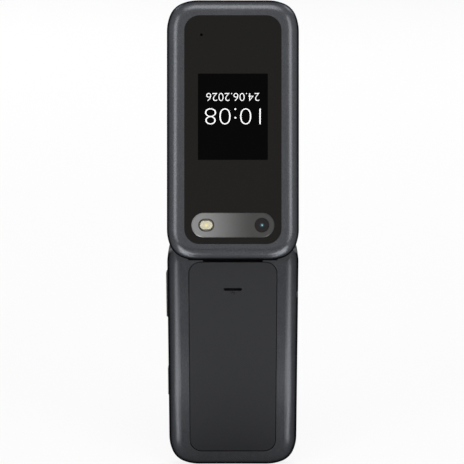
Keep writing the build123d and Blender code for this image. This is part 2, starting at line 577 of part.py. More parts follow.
# ---------------------------------------------------------------- keys
KEY_EDGE = 0.25
for key_name, (size, radius, place) in KEYS.items():
    with BuildPart() as key:
        plate(base_level(KEY_TOP), FLANGE_TOP - KEY_TOP, size, place, radius)
        fillet(key.faces().sort_by(Axis.Y)[0].edges(), KEY_EDGE)
        plate(base_level(FLANGE_TOP), FLANGE_THICKNESS, grown(size, KEY_FLANGE), place, radius + KEY_FLANGE)
        disc(base_level(FLANGE_BACK), PLUNGER_TIP - FLANGE_BACK, PLUNGER_DIAMETER, place)
    key.part.label = key_name
    export_step(key.part, f"parts/{key_name}.step")

with BuildPart() as key_ok:
    plate(base_level(KEY_TOP), FLANGE_BACK - KEY_TOP, (OK_SIZE, OK_SIZE), (0, NAV_Q), OK_RADIUS)
    fillet(key_ok.faces().sort_by(Axis.Y)[0].edges(), KEY_EDGE)
    disc(base_level(FLANGE_BACK), PLUNGER_TIP - FLANGE_BACK, PLUNGER_DIAMETER, (0, NAV_Q))
key_ok.part.label = "key_ok"
export_step(key_ok.part, "parts/key_ok.step")

# the four-way ring rocks on a small gimbal ring below it, which has round pins along both axes
NAV_RING_THICKNESS = 0.95
GIMBAL_GAP = 0.25
GIMBAL_SIZE = OK_SIZE + 5.9
GIMBAL_THICKNESS = 0.4
GIMBAL_PIN = 0.4  # how far its round pins stand out
GIMBAL_FRONT = NAV_TOP + NAV_RING_THICKNESS + GIMBAL_GAP
GIMBAL_R = GIMBAL_FRONT + GIMBAL_THICKNESS / 2
GIMBAL_REACH = GIMBAL_SIZE / 2 + GIMBAL_PIN
nav_hole = grown((OK_SIZE, OK_SIZE), OK_GAP)
with BuildPart() as nav_ring:
    plate(base_level(NAV_TOP), NAV_RING_THICKNESS, (NAV_SIZE, NAV_SIZE), (0, NAV_Q), NAV_RADIUS)
    plate(base_level(NAV_TOP), NAV_RING_THICKNESS, nav_hole, (0, NAV_Q), OK_RADIUS + OK_GAP, mode=Mode.SUBTRACT)
    fillet(nav_ring.faces().sort_by(Axis.Y)[0].edges(), 0.2)
nav_ring.part.label = "nav_ring"
export_step(nav_ring.part, "parts/nav_ring.step")

with BuildPart() as nav_pad:
    plate(base_level(GIMBAL_FRONT), GIMBAL_THICKNESS, (GIMBAL_SIZE, GIMBAL_SIZE), (0, NAV_Q), OK_RADIUS + 2.5)
    with BuildSketch(across(-GIMBAL_REACH)):
        with Locations((GIMBAL_R, NAV_Q)):
            Circle(GIMBAL_THICKNESS / 2)
    extrude(amount=2 * GIMBAL_REACH)
    with BuildSketch(end_level(NAV_Q - GIMBAL_REACH)):
        with Locations((0, GIMBAL_R)):
            Circle(GIMBAL_THICKNESS / 2)
    extrude(amount=2 * GIMBAL_REACH)
    plate(base_level(GIMBAL_FRONT), GIMBAL_THICKNESS, grown(nav_hole, KEY_GAP), (0, NAV_Q), OK_RADIUS + OK_GAP,
          mode=Mode.SUBTRACT)
nav_pad.part.label = "nav_pad"
export_step(nav_pad.part, "parts/nav_pad.step")

# ---------------------------------------------------------------- mat, dome sheet and main board
MAT_SIDE = 0.3  # past the board's side
SHEET_INSET = 0.3  # of the dome sheet inside the mat
MAT_SIZE, MAT_CENTRE = span(2 * (BOARD_HALF + MAT_SIDE), POCKET_LOW, POCKET_TOP)
with BuildPart() as key_mat:
    plate(base_level(MAT_FRONT), MAT_THICKNESS, MAT_SIZE, MAT_CENTRE, 2)
    plate(base_level(MAT_FRONT), MAT_THICKNESS, grown((GIMBAL_SIZE, GIMBAL_SIZE), GIMBAL_PIN + 0.3),
          (0, NAV_Q), 6, mode=Mode.SUBTRACT)
    for size, radius, place in KEYS.values():
        disc(base_level(MAT_FRONT), MAT_THICKNESS, PLUNGER_DIAMETER + 1, place, mode=Mode.SUBTRACT)
    for screw in BASE_SCREWS:
        disc(base_level(MAT_FRONT), MAT_THICKNESS, BOSS_ROOM, screw, mode=Mode.SUBTRACT)
key_mat.part.label = "key_mat"
export_step(key_mat.part, "parts/key_mat.step")

with BuildPart() as dome_sheet:
    plate(base_level(DOME_FRONT), DOME_THICKNESS, grown(MAT_SIZE, -2 * SHEET_INSET), MAT_CENTRE, 2)
    for screw in BASE_SCREWS:
        disc(base_level(DOME_FRONT), DOME_THICKNESS, BOSS_ROOM, screw, mode=Mode.SUBTRACT)
dome_sheet.part.label = "dome_sheet"
export_step(dome_sheet.part, "parts/dome_sheet.step")

BOARD_END_GAP = 0.2
board_size, board_centre = span(2 * BOARD_HALF, CAVITY_LOW + BOARD_END_GAP + SLIP, CAVITY_TOP - BOARD_END_GAP)
with BuildPart() as main_board:
    plate(base_level(BOARD_FRONT), BOARD_THICKNESS, board_size, board_centre, CAVITY_RADIUS - 1)
    square_size, square_centre = span(2 * BOARD_HALF, CAVITY_MIDDLE, CAVITY_TOP - BOARD_END_GAP)
    plate(base_level(BOARD_FRONT), BOARD_THICKNESS, square_size, square_centre, 1)
    for screw in BASE_SCREWS:
        disc(base_level(BOARD_FRONT), BOARD_THICKNESS, SCREW_HOLE + 2 * SLIP, screw, mode=Mode.SUBTRACT)
main_board.part.label = "main_board"
export_step(main_board.part, "parts/main_board.step")

# ---------------------------------------------------------------- parts on the back of the board
CAN_HEIGHT = 1.7
CAN_WALL = 0.3
CAN_OUTER = SWITCH_X - 0.7
CAN_INNER = BAY_WIDTH / 2 + BAY_WALL + 0.7
CAN_X = (CAN_OUTER + CAN_INNER) / 2
CAN_SIZE, CAN_CENTRE = span(CAN_OUTER - CAN_INNER, BATTERY_LOW + 1.3, BATTERY_TOP - 4.7)
with BuildPart() as shield_cans:
    for x in (-CAN_X, CAN_X):
        plate(base_level(MOUNTED), CAN_HEIGHT, CAN_SIZE, (x, CAN_CENTRE[1]), 0.6)
        plate(base_level(MOUNTED), CAN_HEIGHT - CAN_WALL, grown(CAN_SIZE, -CAN_WALL), (x, CAN_CENTRE[1]),
              mode=Mode.SUBTRACT)
shield_cans.part.label = "shield_cans"
export_step(shield_cans.part, "parts/shield_cans.step")

HOLDER_INNER = 1.7
HOLDER_OUTER = BAY_WIDTH / 2 - 1.2
HOLDER_SIZE = (HOLDER_OUTER - HOLDER_INNER, 8.0)
HOLDER_HEIGHT = 1.45
HOLDER_Q = BAY_TOP - 4.9
HOLDER_X = (HOLDER_INNER + HOLDER_OUTER) / 2
HOLDER_WALL = 0.3
with BuildPart() as card_holders:
    for x in (-HOLDER_X, HOLDER_X):
        plate(base_level(MOUNTED), HOLDER_HEIGHT, HOLDER_SIZE, (x, HOLDER_Q), 0.4)
        plate(base_level(MOUNTED + HOLDER_WALL), HOLDER_HEIGHT - 2 * HOLDER_WALL,
              (HOLDER_SIZE[0] - 1.4, HOLDER_SIZE[1]), (x, HOLDER_Q - 0.8), mode=Mode.SUBTRACT)
card_holders.part.label = "card_holders"
export_step(card_holders.part, "parts/card_holders.step")

CONTACT_BLOCK = (10.0, 2.0)
CONTACT_BLOCK_HEIGHT = 3.2
CONTACT_BLADE = (1.2, 0.4)
CONTACT_PITCH = 3.0
with BuildPart() as battery_contacts:
    block_q = BATTERY_TOP + CONTACT_BLADE[1] + SLIP + CONTACT_BLOCK[1] / 2
    plate(base_level(MOUNTED), CONTACT_BLOCK_HEIGHT, CONTACT_BLOCK, (0, block_q), 0.3)
    for x in (-CONTACT_PITCH, 0.0, CONTACT_PITCH):
        plate(base_level(MOUNTED + 1.2), 1.4, CONTACT_BLADE,
              (x, block_q - CONTACT_BLOCK[1] / 2 - CONTACT_BLADE[1] / 2))
battery_contacts.part.label = "battery_contacts"
export_step(battery_contacts.part, "parts/battery_contacts.step")

USB_WALL = 0.3
USB_TONGUE = (4.6, 0.6)
with BuildPart() as usb_socket:
    plate(base_level(MOUNTED), USB_SIZE[2], USB_SIZE[:2], (0, USB_Q), 0.2)
    plate(base_level(MOUNTED + USB_WALL), USB_SIZE[2] - 2 * USB_WALL, (USB_SIZE[0] - 2 * USB_WALL, USB_SIZE[1]),
          (0, USB_Q - 0.8), mode=Mode.SUBTRACT)
    plate(base_level(MOUNTED + 1.0), USB_TONGUE[1], (USB_TONGUE[0], USB_SIZE[1] - 1.0), (0, USB_Q + 0.3))
usb_socket.part.label = "usb_socket"
export_step(usb_socket.part, "parts/usb_socket.step")

with BuildPart() as audio_socket:
    plate(base_level(JACK_R - JACK_BODY[2] / 2), JACK_BODY[2], JACK_BODY[:2],
          (JACK_START + JACK_BODY[0] / 2, JACK_Q), 0.2)
    with BuildSketch(across(JACK_START)):
        with Locations((JACK_R, JACK_Q)):
            Circle(JACK_BORE / 2)
    extrude(amount=JACK_DEPTH, mode=Mode.SUBTRACT)
audio_socket.part.label = "audio_socket"
export_step(audio_socket.part, "parts/audio_socket.step")

SPEAKER_FRONT = DECK_FRONT - SLIP - SPEAKER_HEIGHT
with BuildPart() as loudspeaker:
    plate(base_level(SPEAKER_FRONT), SPEAKER_HEIGHT, SPEAKER_SIZE, (0, SPEAKER_Q), 1.5)
    plate(base_level(DECK_FRONT - 0.4), 0.4, grown(SPEAKER_SIZE, -2), (0, SPEAKER_Q), 1, mode=Mode.SUBTRACT)
    plate(base_level(MOUNTED), SPEAKER_FRONT - MOUNTED, SPEAKER_FOOT, (0, SPEAKER_Q), 0.5)
loudspeaker.part.label = "loudspeaker"
export_step(loudspeaker.part, "parts/loudspeaker.step")

with BuildPart() as vibration_motor:
    disc(base_level(MOUNTED), MOTOR_HEIGHT, MOTOR_DIAMETER, MOTOR_PLACE)
    fillet(vibration_motor.edges().sort_by(Axis.Y)[-1], 0.3)
vibration_motor.part.label = "vibration_motor"
export_step(vibration_motor.part, "parts/vibration_motor.step")

with BuildPart() as microphone:
    plate(base_level(MOUNTED), MIC_SIZE[2], MIC_SIZE[:2], (MIC_X, CAVITY_LOW + 0.3 + MIC_SIZE[1] / 2), 0.2)
microphone.part.label = "microphone"
export_step(microphone.part, "parts/microphone.step")

with BuildPart() as charge_contacts:
    with BuildSketch(end_level(-REACH + CONTACT_INSET)):
        with Locations((-CONTACT_X, CONTACT_R), (CONTACT_X, CONTACT_R)):
            Circle(CONTACT_DIAMETER / 2)
    extrude(amount=WALL)
charge_contacts.part.label = "charge_contacts"
export_step(charge_contacts.part, "parts/charge_contacts.step")

with BuildPart() as antenna:
    plate(base_level(MOUNTED), ANTENNA_SIZE[2], ANTENNA_SIZE[:2],
          (-MIC_X, CAVITY_LOW + 1.6 + ANTENNA_SIZE[1] / 2), 0.4)
antenna.part.label = "antenna"
export_step(antenna.part, "parts/antenna.step")

SWITCH_SIZE = (0.25, 3.0, 1.6)
SIDE_FLEX_WIDTH = 2.8
with BuildPart() as side_key_flex:
    flex_size, flex_centre = span(FLEX_THICKNESS, SOS_Q - SOS_LENGTH / 2, VOLUME_Q + VOLUME_LENGTH / 2 + 1.3)
    plate(base_level(BOARD_FRONT), SIDE_FLEX_WIDTH, flex_size, (SWITCH_X + FLEX_THICKNESS / 2, flex_centre[1]))
    for q in (VOLUME_Q - VOLUME_LENGTH / 3, VOLUME_Q + VOLUME_LENGTH / 3, SOS_Q):
        plate(base_level(SIDE_KEY_R - SWITCH_SIZE[2] / 2), SWITCH_SIZE[2], SWITCH_SIZE[:2],
              (SWITCH_X + FLEX_THICKNESS + SWITCH_SIZE[0] / 2, q))
side_key_flex.part.label = "side_key_flex"
export_step(side_key_flex.part, "parts/side_key_flex.step")

with BuildPart() as base_screws:
    for screw in BASE_SCREWS:
        disc(base_level(SCREW_TIP), SCREW_SEAT + LAYER_GAP - SCREW_TIP, SCREW_DIAMETER, screw)
        disc(base_level(SCREW_SEAT + LAYER_GAP), SCREW_HEAD_HEIGHT, SCREW_HEAD, screw)
        for size in (SCREW_CROSS, SCREW_CROSS[::-1]):
            plate(base_level(COVER_FRONT - 0.4), PAST, size, screw, mode=Mode.SUBTRACT)
base_screws.part.label = "base_screws"
export_step(base_screws.part, "parts/base_screws.step")

# ---------------------------------------------------------------- battery and its cover
with BuildPart() as battery:
    battery_size, battery_centre = span(BATTERY_WIDTH, BATTERY_LOW, BATTERY_TOP)
    plate(base_level(BATTERY_FRONT), BATTERY_THICKNESS, battery_size, battery_centre, 1.2)
    fillet(battery.faces().sort_by(Axis.Y)[-1].edges(), 0.4)
battery.part.label = "battery"
export_step(battery.part, "parts/battery.step")

COVER_EDGE = 0.2
TONGUE_SIZE = (1.2, 8.0)
TONGUE_DEPTH = 0.7
TONGUE_X = BAY_WIDTH / 2 - 1.4
with BuildPart() as battery_cover:
    plate(base_level(COVER_FRONT + LAYER_GAP), COVER_THICKNESS - LAYER_GAP, cover_size, cover_centre, COVER_RADIUS)
    fillet(battery_cover.faces().sort_by(Axis.Y)[-1].edges(), COVER_EDGE)
    plate(base_level(COVER_FRONT - PAST), COVER_THICKNESS + 2 * PAST, SPEAKER_SLOT, (0, SPEAKER_Q),
          round_end(SPEAKER_SLOT), mode=Mode.SUBTRACT)
    disc(base_level(BASE_BACK), NUB_PROUD, NUB_DIAMETER, (0, NUB_Q))
    for x in (-TONGUE_X, TONGUE_X):
        plate(base_level(COVER_FRONT + LAYER_GAP - TONGUE_DEPTH), TONGUE_DEPTH, TONGUE_SIZE, (x, BAY_TOP - 5.5))
battery_cover.part.label = "battery_cover"
export_step(battery_cover.part, "parts/battery_cover.step")

# ---------------------------------------------------------------- side keys
VOLUME_EDGE = 0.45
SOS_EDGE = 0.3
with BuildPart() as volume_key:
    key_x = BASE_HALF + VOLUME_PROUD - (SIDE_KEY_DEPTH + VOLUME_PROUD) / 2
    plate(base_level(SIDE_KEY_FRONT), SIDE_KEY_WIDTH, (SIDE_KEY_DEPTH + VOLUME_PROUD, VOLUME_LENGTH),
          (key_x, VOLUME_Q))
    fillet(volume_key.faces().sort_by(Axis.X)[-1].edges(), VOLUME_EDGE)
    disc(base_level(SIDE_KEY_FRONT - PIVOT_PIN), SIDE_KEY_WIDTH + 2 * PIVOT_PIN, PIVOT_DIAMETER,
         (PIVOT_X, VOLUME_Q))
volume_key.part.label = "volume_key"
export_step(volume_key.part, "parts/volume_key.step")

with BuildPart() as sos_key:
    key_x = BASE_HALF + SOS_PROUD - (SIDE_KEY_DEPTH + SOS_PROUD) / 2
    plate(base_level(SIDE_KEY_FRONT), SIDE_KEY_WIDTH, (SIDE_KEY_DEPTH + SOS_PROUD, SOS_LENGTH), (key_x, SOS_Q))
    fillet(sos_key.faces().sort_by(Axis.X)[-1].edges(), SOS_EDGE)
    plate(base_level(SIDE_KEY_FRONT), SIDE_KEY_WIDTH, (SOS_FLANGE[0], SOS_LENGTH + 2 * SOS_FLANGE[1]),
          (BASE_HALF - SIDE_KEY_DEPTH + SOS_FLANGE[0] / 2, SOS_Q))
sos_key.part.label = "sos_key"
export_step(sos_key.part, "parts/sos_key.step")

# ---------------------------------------------------------------- hinge parts held by the base
CARTRIDGE_END = BORE_END - SLIP
SPRING_START = NOTCH_HALF + 1.6
SPRING_END = BORE_END - 1.4
SPRING_SPACE = 5.6
SPRING_WIRE = 0.6
with BuildPart() as hinge_cartridge:
    rod(NOTCH_HALF + SLIP, CARTRIDGE_END, CARTRIDGE_DIAMETER)
    rod(NOTCH_HALF, CARTRIDGE_END + PAST, SHAFT_DIAMETER + 2 * SLIP, mode=Mode.SUBTRACT)
    rod(SPRING_START, SPRING_END, SPRING_SPACE, mode=Mode.SUBTRACT)
hinge_cartridge.part.label = "hinge_cartridge"
export_step(hinge_cartridge.part, "parts/hinge_cartridge.step")

with BuildPart() as hinge_spring:
    spring_radius = SPRING_SPACE / 2 - SPRING_WIRE / 2 - SLIP
    spring_length = SPRING_END - SPRING_START - SPRING_WIRE - 2 * SLIP
    with BuildLine():
        coil = Helix(pitch=spring_length / 6, height=spring_length, radius=spring_radius,
                     center=AXIS + Vector(SPRING_START + SPRING_WIRE / 2 + SLIP, 0, 0), direction=(1, 0, 0))
    with BuildSketch(Plane(origin=coil @ 0, z_dir=coil % 0)):
        Circle(SPRING_WIRE / 2)
    sweep()
hinge_spring.part.label = "hinge_spring"
export_step(hinge_spring.part, "parts/hinge_spring.step")

with BuildPart() as hinge_bush:
    rod(-CARTRIDGE_END, -NOTCH_HALF - SLIP, CARTRIDGE_DIAMETER)
    rod(-NOTCH_HALF - SLIP, -NOTCH_HALF + BUSH_NOSE_LENGTH, BUSH_NOSE)
    rod(-BORE_END, -NOTCH_HALF + BUSH_NOSE_LENGTH + PAST, BUSH_BORE, mode=Mode.SUBTRACT)
hinge_bush.part.label = "hinge_bush"
export_step(hinge_bush.part, "parts/hinge_bush.step")

# ---------------------------------------------------------------- lid envelope and what it has to clear
OUTWARD = Axis(AXIS, LID_OUT)
with BuildPart() as lid_envelope:
    body_slab(lid_level(LID_FRONT), LID_THICKNESS, LID_WIDTH, -LID_LIP, REACH)
    fillet(lid_envelope.faces().sort_by(OUTWARD)[-1].edges(), LID_EDGE)
    fillet(lid_envelope.faces().sort_by(OUTWARD)[0].edges(), FRONT_EDGE)

with BuildPart() as base_clearance:
    with BuildSketch(across(-BASE_HALF - PAST)) as clear_side:
        base_side_outline()
        offset(amount=HINGE_GAP)
    extrude(clear_side.sketch, amount=BASE_WIDTH + 2 * PAST)

# ---------------------------------------------------------------- lid frame: the front shell with the barrel
MAIN_DISPLAY, MAIN_DISPLAY_CENTRE = span(LID_WIDTH - 2 * MAIN_DISPLAY_SIDE, MAIN_DISPLAY_LOW, MAIN_DISPLAY_HIGH)
MAIN_VIEW, MAIN_VIEW_CENTRE = span(LID_WIDTH - 2 * MAIN_VIEW_SIDE, MAIN_VIEW_LOW, MAIN_VIEW_HIGH)
INNER_WINDOW, INNER_CENTRE = span(LID_WIDTH - 2 * INNER_WINDOW_SIDE, INNER_WINDOW_LOW, INNER_WINDOW_HIGH)
with BuildPart() as lid_frame:
    add(lid_envelope.part)
    frame_size, frame_centre = span(LID_WIDTH + 2 * PAST, -LID_LIP - PAST, REACH + PAST)
    plate(lid_level(LID_FRONT), LID_SPLIT - LID_FRONT, frame_size, frame_centre, mode=Mode.INTERSECT)
    frame_size, frame_centre = span(LID_WIDTH + 2 * PAST, -LID_LIP - PAST, 0)
    plate(lid_level(LID_FRONT - PAST), LID_THICKNESS, frame_size, frame_centre, mode=Mode.SUBTRACT)
    add(base_clearance.part, mode=Mode.SUBTRACT)
    rod(-BARREL_HALF, BARREL_HALF, 2 * BARREL_RADIUS)
    web_size, web_centre = span(2 * BARREL_HALF, 0, BARREL_RADIUS + 2)
    plate(lid_level(LID_FRONT), LID_SPLIT - LID_FRONT, web_size, web_centre)
    # display window, the view behind it, and the seat of the display
    plate(lid_level(LID_FRONT - PAST), WINDOW_THICKNESS + PAST, grown(INNER_WINDOW, SLIP), INNER_CENTRE,
          INNER_WINDOW_RADIUS + SLIP, mode=Mode.SUBTRACT)
    plate(lid_level(WEB_FRONT - PAST), WEB_THICKNESS + 2 * PAST, MAIN_VIEW, MAIN_VIEW_CENTRE, 1,
          mode=Mode.SUBTRACT)
    plate(lid_level(WEB_BACK), LID_THICKNESS, grown(MAIN_DISPLAY, 2 * SLIP), MAIN_DISPLAY_CENTRE, 0.5,
          mode=Mode.SUBTRACT)
    # earpiece
    plate(lid_level(WEB_FRONT - PAST), WEB_THICKNESS + 2 * PAST, EAR_SLOT, (0, EARPIECE_Q), round_end(EAR_SLOT),
          mode=Mode.SUBTRACT)
    plate(lid_level(WEB_BACK), LID_THICKNESS, grown(EARPIECE, SLIP), (0, EARPIECE_Q), 0.5, mode=Mode.SUBTRACT)
    # screws, with bumpers over the far pair
    for screw in LID_SCREW_PLACES:
        disc(lid_level(LID_FRONT - PAST), LID_THICKNESS, SCREW_HOLE, screw, mode=Mode.SUBTRACT)
        disc(lid_level(LID_FRONT - PAST), PAST + LID_SCREW_SEAT - LID_FRONT + SCREW_HEAD_HEIGHT,
             BUMPER_DIAMETER + SLIP, screw, mode=Mode.SUBTRACT)
    # socket for the shaft's square head, bearing for the bush's nose, and the cable's way
    plate(lid_level(-SHAFT_HEAD / 2 - SLIP), SHAFT_HEAD + 2 * SLIP,
          (BARREL_HALF - SHAFT_HEAD_START + PAST, SHAFT_HEAD + 2 * SLIP),
          ((BARREL_HALF + SHAFT_HEAD_START + PAST) / 2, 0), mode=Mode.SUBTRACT)
    rod(-BARREL_HALF - PAST, FLEX_X + FLEX_WIDTH, BUSH_NOSE + 2 * SLIP, mode=Mode.SUBTRACT)
    cable_size, cable_centre = span(FLEX_WAY, -PAST, LID_CAVITY_LOW + 3)
    plate(lid_level(FLEX_LEVEL - 2 * SLIP), LID_THICKNESS, cable_size, (FLEX_X, cable_centre[1]),
          mode=Mode.SUBTRACT)
    plate(lid_level(0), LID_SPLIT, (FLEX_WAY, 1.0), (FLEX_X, FLEX_THICKNESS / 2), mode=Mode.SUBTRACT)
lid_frame.part.label = "lid_frame"
export_step(lid_frame.part, "parts/lid_frame.step")

# ---------------------------------------------------------------- lid cover: the painted rear shell
OUTER_WINDOW, OUTER_CENTRE = span(LID_WIDTH - 2 * OUTER_WINDOW_SIDE, OUTER_WINDOW_LOW, OUTER_WINDOW_HIGH)
COVER_DISPLAY, COVER_DISPLAY_CENTRE = span(LID_WIDTH - 2 * COVER_DISPLAY_SIDE, COVER_DISPLAY_LOW,
                                           COVER_DISPLAY_HIGH)
DEEP_BACK = DISPLAY_FRONT + DISPLAY_THICKNESS + 1.0
CAMERA_ROOM_FRONT = BARREL_RADIUS + HINGE_GAP + 0.8
CAMERA_SLOT_DEPTH = 1.8
FLASH_SEAT = OUTER_SEAT - 0.9
with BuildPart() as lid_cover:
    add(lid_envelope.part)
    shell_size, shell_centre = span(LID_WIDTH + 2 * PAST, -LID_LIP - PAST, REACH + PAST)
    plate(lid_level(LID_SPLIT), LID_THICKNESS, shell_size, shell_centre, mode=Mode.INTERSECT)
    add(base_clearance.part, mode=Mode.SUBTRACT)
    rod(-BASE_HALF - PAST, BASE_HALF + PAST, 2 * (BARREL_RADIUS + HINGE_GAP), mode=Mode.SUBTRACT)
    # cavity
    hollow_size, hollow_centre = span(2 * (LID_CAVITY_HALF - 0.8), LID_CAVITY_LOW, LID_CAVITY_HIGH)
    plate(lid_level(LID_SPLIT), LID_FLOOR - LID_SPLIT, hollow_size, hollow_centre, LID_CAVITY_RADIUS,
          mode=Mode.SUBTRACT)
    deep_size, deep_centre = span(2 * LID_CAVITY_HALF, LID_CAVITY_LOW, LID_SQUARE_HIGH)
    plate(lid_level(LID_SPLIT), DEEP_BACK - LID_SPLIT, deep_size, deep_centre, 1, mode=Mode.SUBTRACT)
    for screw in LID_SCREW_PLACES:
        disc(lid_level(LID_SPLIT), LID_FLOOR + 2 * SLIP - LID_SPLIT, PILLAR_DIAMETER + SLIP, screw)
        disc(lid_level(LID_SPLIT), LID_SCREW_LENGTH - 1.0, SCREW_HOLE, screw, mode=Mode.SUBTRACT)
    # seat of the outer window, and what lies under it
    plate(lid_level(OUTER_SEAT), WINDOW_THICKNESS + PAST, grown(OUTER_WINDOW, SLIP / 2), OUTER_CENTRE,
          OUTER_WINDOW_RADIUS + SLIP / 2, mode=Mode.SUBTRACT)
    plate(lid_level(LID_FLOOR - SLIP), LID_THICKNESS, grown(COVER_DISPLAY, 2 * SLIP), COVER_DISPLAY_CENTRE, 0.5,
          mode=Mode.SUBTRACT)
    plate(lid_level(CAMERA_ROOM_FRONT), LID_THICKNESS, grown((CAMERA_BODY, CAMERA_BODY), 2 * SLIP),
          (CAMERA_X, CAMERA_BAR_Q), 0.5, mode=Mode.SUBTRACT)
    way_size, way_centre = span(CAMERA_BODY, CAMERA_BAR_Q, LID_CAVITY_LOW + PAST)
    plate(lid_level(CAMERA_ROOM_FRONT), CAMERA_SLOT_DEPTH, way_size, (CAMERA_X, way_centre[1]),
          mode=Mode.SUBTRACT)
    plate(lid_level(FLASH_SEAT), LID_THICKNESS, grown(FLASH_RING, SLIP), (FLASH_X, CAMERA_BAR_Q),
          round_end(FLASH_RING), mode=Mode.SUBTRACT)
    disc(lid_level(LID_SPLIT), LID_THICKNESS, LID_MIC_DIAMETER, LID_MIC, mode=Mode.SUBTRACT)
lid_cover.part.label = "lid_cover"
export_step(lid_cover.part, "parts/lid_cover.step")

# ---------------------------------------------------------------- windows and displays
with BuildPart() as outer_window:
    plate(lid_level(OUTER_SEAT), WINDOW_THICKNESS, OUTER_WINDOW, OUTER_CENTRE, OUTER_WINDOW_RADIUS)
    plate(lid_level(OUTER_SEAT), WINDOW_THICKNESS, grown(CAMERA_BAR, SLIP), (0, CAMERA_BAR_Q),
          round_end(CAMERA_BAR) + SLIP, mode=Mode.SUBTRACT)
    disc(lid_level(OUTER_SEAT), WINDOW_THICKNESS, LID_MIC_DIAMETER, LID_MIC, mode=Mode.SUBTRACT)
outer_window.part.label = "outer_window"
export_step(outer_window.part, "parts/outer_window.step")

with BuildPart() as inner_window:
    plate(lid_level(LID_FRONT + LAYER_GAP), WINDOW_THICKNESS - LAYER_GAP, INNER_WINDOW, INNER_CENTRE,
          INNER_WINDOW_RADIUS)
    plate(lid_level(LID_FRONT - PAST), WINDOW_THICKNESS + 2 * PAST, EAR_SLOT, (0, EARPIECE_Q),
          round_end(EAR_SLOT), mode=Mode.SUBTRACT)
inner_window.part.label = "inner_window"
export_step(inner_window.part, "parts/inner_window.step")

with BuildPart() as main_display:
    plate(lid_level(DISPLAY_FRONT), DISPLAY_THICKNESS, MAIN_DISPLAY, MAIN_DISPLAY_CENTRE, 0.3)
main_display.part.label = "main_display"
export_step(main_display.part, "parts/main_display.step")

with BuildPart() as cover_display:
    plate(lid_level(OUTER_SEAT - SLIP - DISPLAY_THICKNESS), DISPLAY_THICKNESS, COVER_DISPLAY,
          COVER_DISPLAY_CENTRE, 0.3)
cover_display.part.label = "cover_display"
export_step(cover_display.part, "parts/cover_display.step")

with BuildPart() as lid_board:
    lid_board_size, lid_board_centre = span(LID_WIDTH - 2 * LID_BOARD_SIDE, LID_BOARD_LOW, LID_BOARD_HIGH)
    plate(lid_level(LID_BOARD_FRONT), BOARD_THICKNESS, lid_board_size, lid_board_centre, 1)
    plate(lid_level(LID_BOARD_BACK), LID_PLUG[2], LID_PLUG[:2], (0, LID_PLUG_Q), 0.3)
lid_board.part.label = "lid_board"
export_step(lid_board.part, "parts/lid_board.step")

# ---------------------------------------------------------------- camera bar
BAR_TOP = LID_BACK + CAMERA_BAR_PROUD
BAR_CHAMFER = 0.3
BAR_HEIGHT = BAR_TOP - OUTER_SEAT
with BuildPart() as camera_plate:
    plate(lid_level(OUTER_SEAT), BAR_HEIGHT, CAMERA_BAR, (0, CAMERA_BAR_Q), round_end(CAMERA_BAR))
    chamfer(camera_plate.faces().sort_by(OUTWARD)[-1].edges(), BAR_CHAMFER)
    disc(lid_level(OUTER_SEAT), BAR_HEIGHT + PAST, CAMERA_WINDOW + 2 * SLIP, (CAMERA_X, CAMERA_BAR_Q),
         mode=Mode.SUBTRACT)
    plate(lid_level(OUTER_SEAT), BAR_HEIGHT + PAST, FLASH_RING, (FLASH_X, CAMERA_BAR_Q), round_end(FLASH_RING),
          mode=Mode.SUBTRACT)
camera_plate.part.label = "camera_plate"
export_step(camera_plate.part, "parts/camera_plate.step")

CAMERA_FRONT = CAMERA_ROOM_FRONT + SLIP
CAMERA_SHOULDER = OUTER_SEAT - 0.6
CAMERA_GLASS = 0.6
CAMERA_GLASS_FRONT = BAR_TOP - 0.2 - CAMERA_GLASS
with BuildPart() as camera_module:
    plate(lid_level(CAMERA_FRONT), CAMERA_SHOULDER - CAMERA_FRONT, (CAMERA_BODY, CAMERA_BODY),
          (CAMERA_X, CAMERA_BAR_Q), 0.3)
    disc(lid_level(CAMERA_SHOULDER), CAMERA_GLASS_FRONT - 2 * SLIP - CAMERA_SHOULDER, CAMERA_BARREL,
         (CAMERA_X, CAMERA_BAR_Q))
camera_module.part.label = "camera_module"
export_step(camera_module.part, "parts/camera_module.step")

with BuildPart() as camera_window:
    disc(lid_level(CAMERA_GLASS_FRONT), CAMERA_GLASS, CAMERA_WINDOW, (CAMERA_X, CAMERA_BAR_Q))
camera_window.part.label = "camera_window"
export_step(camera_window.part, "parts/camera_window.step")

FLASH_FOOT = grown(FLASH_RING, -SLIP)
FLASH_FOOT_HEIGHT = 1.4
FLASH_STEP = FLASH_SEAT + SLIP + FLASH_FOOT_HEIGHT
with BuildPart() as flash_lens:
    plate(lid_level(FLASH_SEAT + SLIP), FLASH_FOOT_HEIGHT, FLASH_FOOT, (FLASH_X, CAMERA_BAR_Q),
          round_end(FLASH_FOOT))
    plate(lid_level(FLASH_STEP), BAR_TOP - SLIP - FLASH_STEP, FLASH_LENS, (FLASH_X, CAMERA_BAR_Q),
          round_end(FLASH_LENS))
flash_lens.part.label = "flash_lens"
export_step(flash_lens.part, "parts/flash_lens.step")

# ---------------------------------------------------------------- earpiece, screws and bumpers
EARPIECE_HEIGHT = 2.0
MESH_INSET = 0.4  # behind the lid's front
MESH_THICKNESS = 0.4
with BuildPart() as earpiece:
    plate(lid_level(DISPLAY_FRONT), EARPIECE_HEIGHT, EARPIECE, (0, EARPIECE_Q), 0.5)
earpiece.part.label = "earpiece"
export_step(earpiece.part, "parts/earpiece.step")

with BuildPart() as earpiece_mesh:
    plate(lid_level(LID_FRONT + MESH_INSET), MESH_THICKNESS, grown(EAR_SLOT, -SLIP), (0, EARPIECE_Q),
          round_end(EAR_SLOT) - SLIP)
earpiece_mesh.part.label = "earpiece_mesh"
export_step(earpiece_mesh.part, "parts/earpiece_mesh.step")

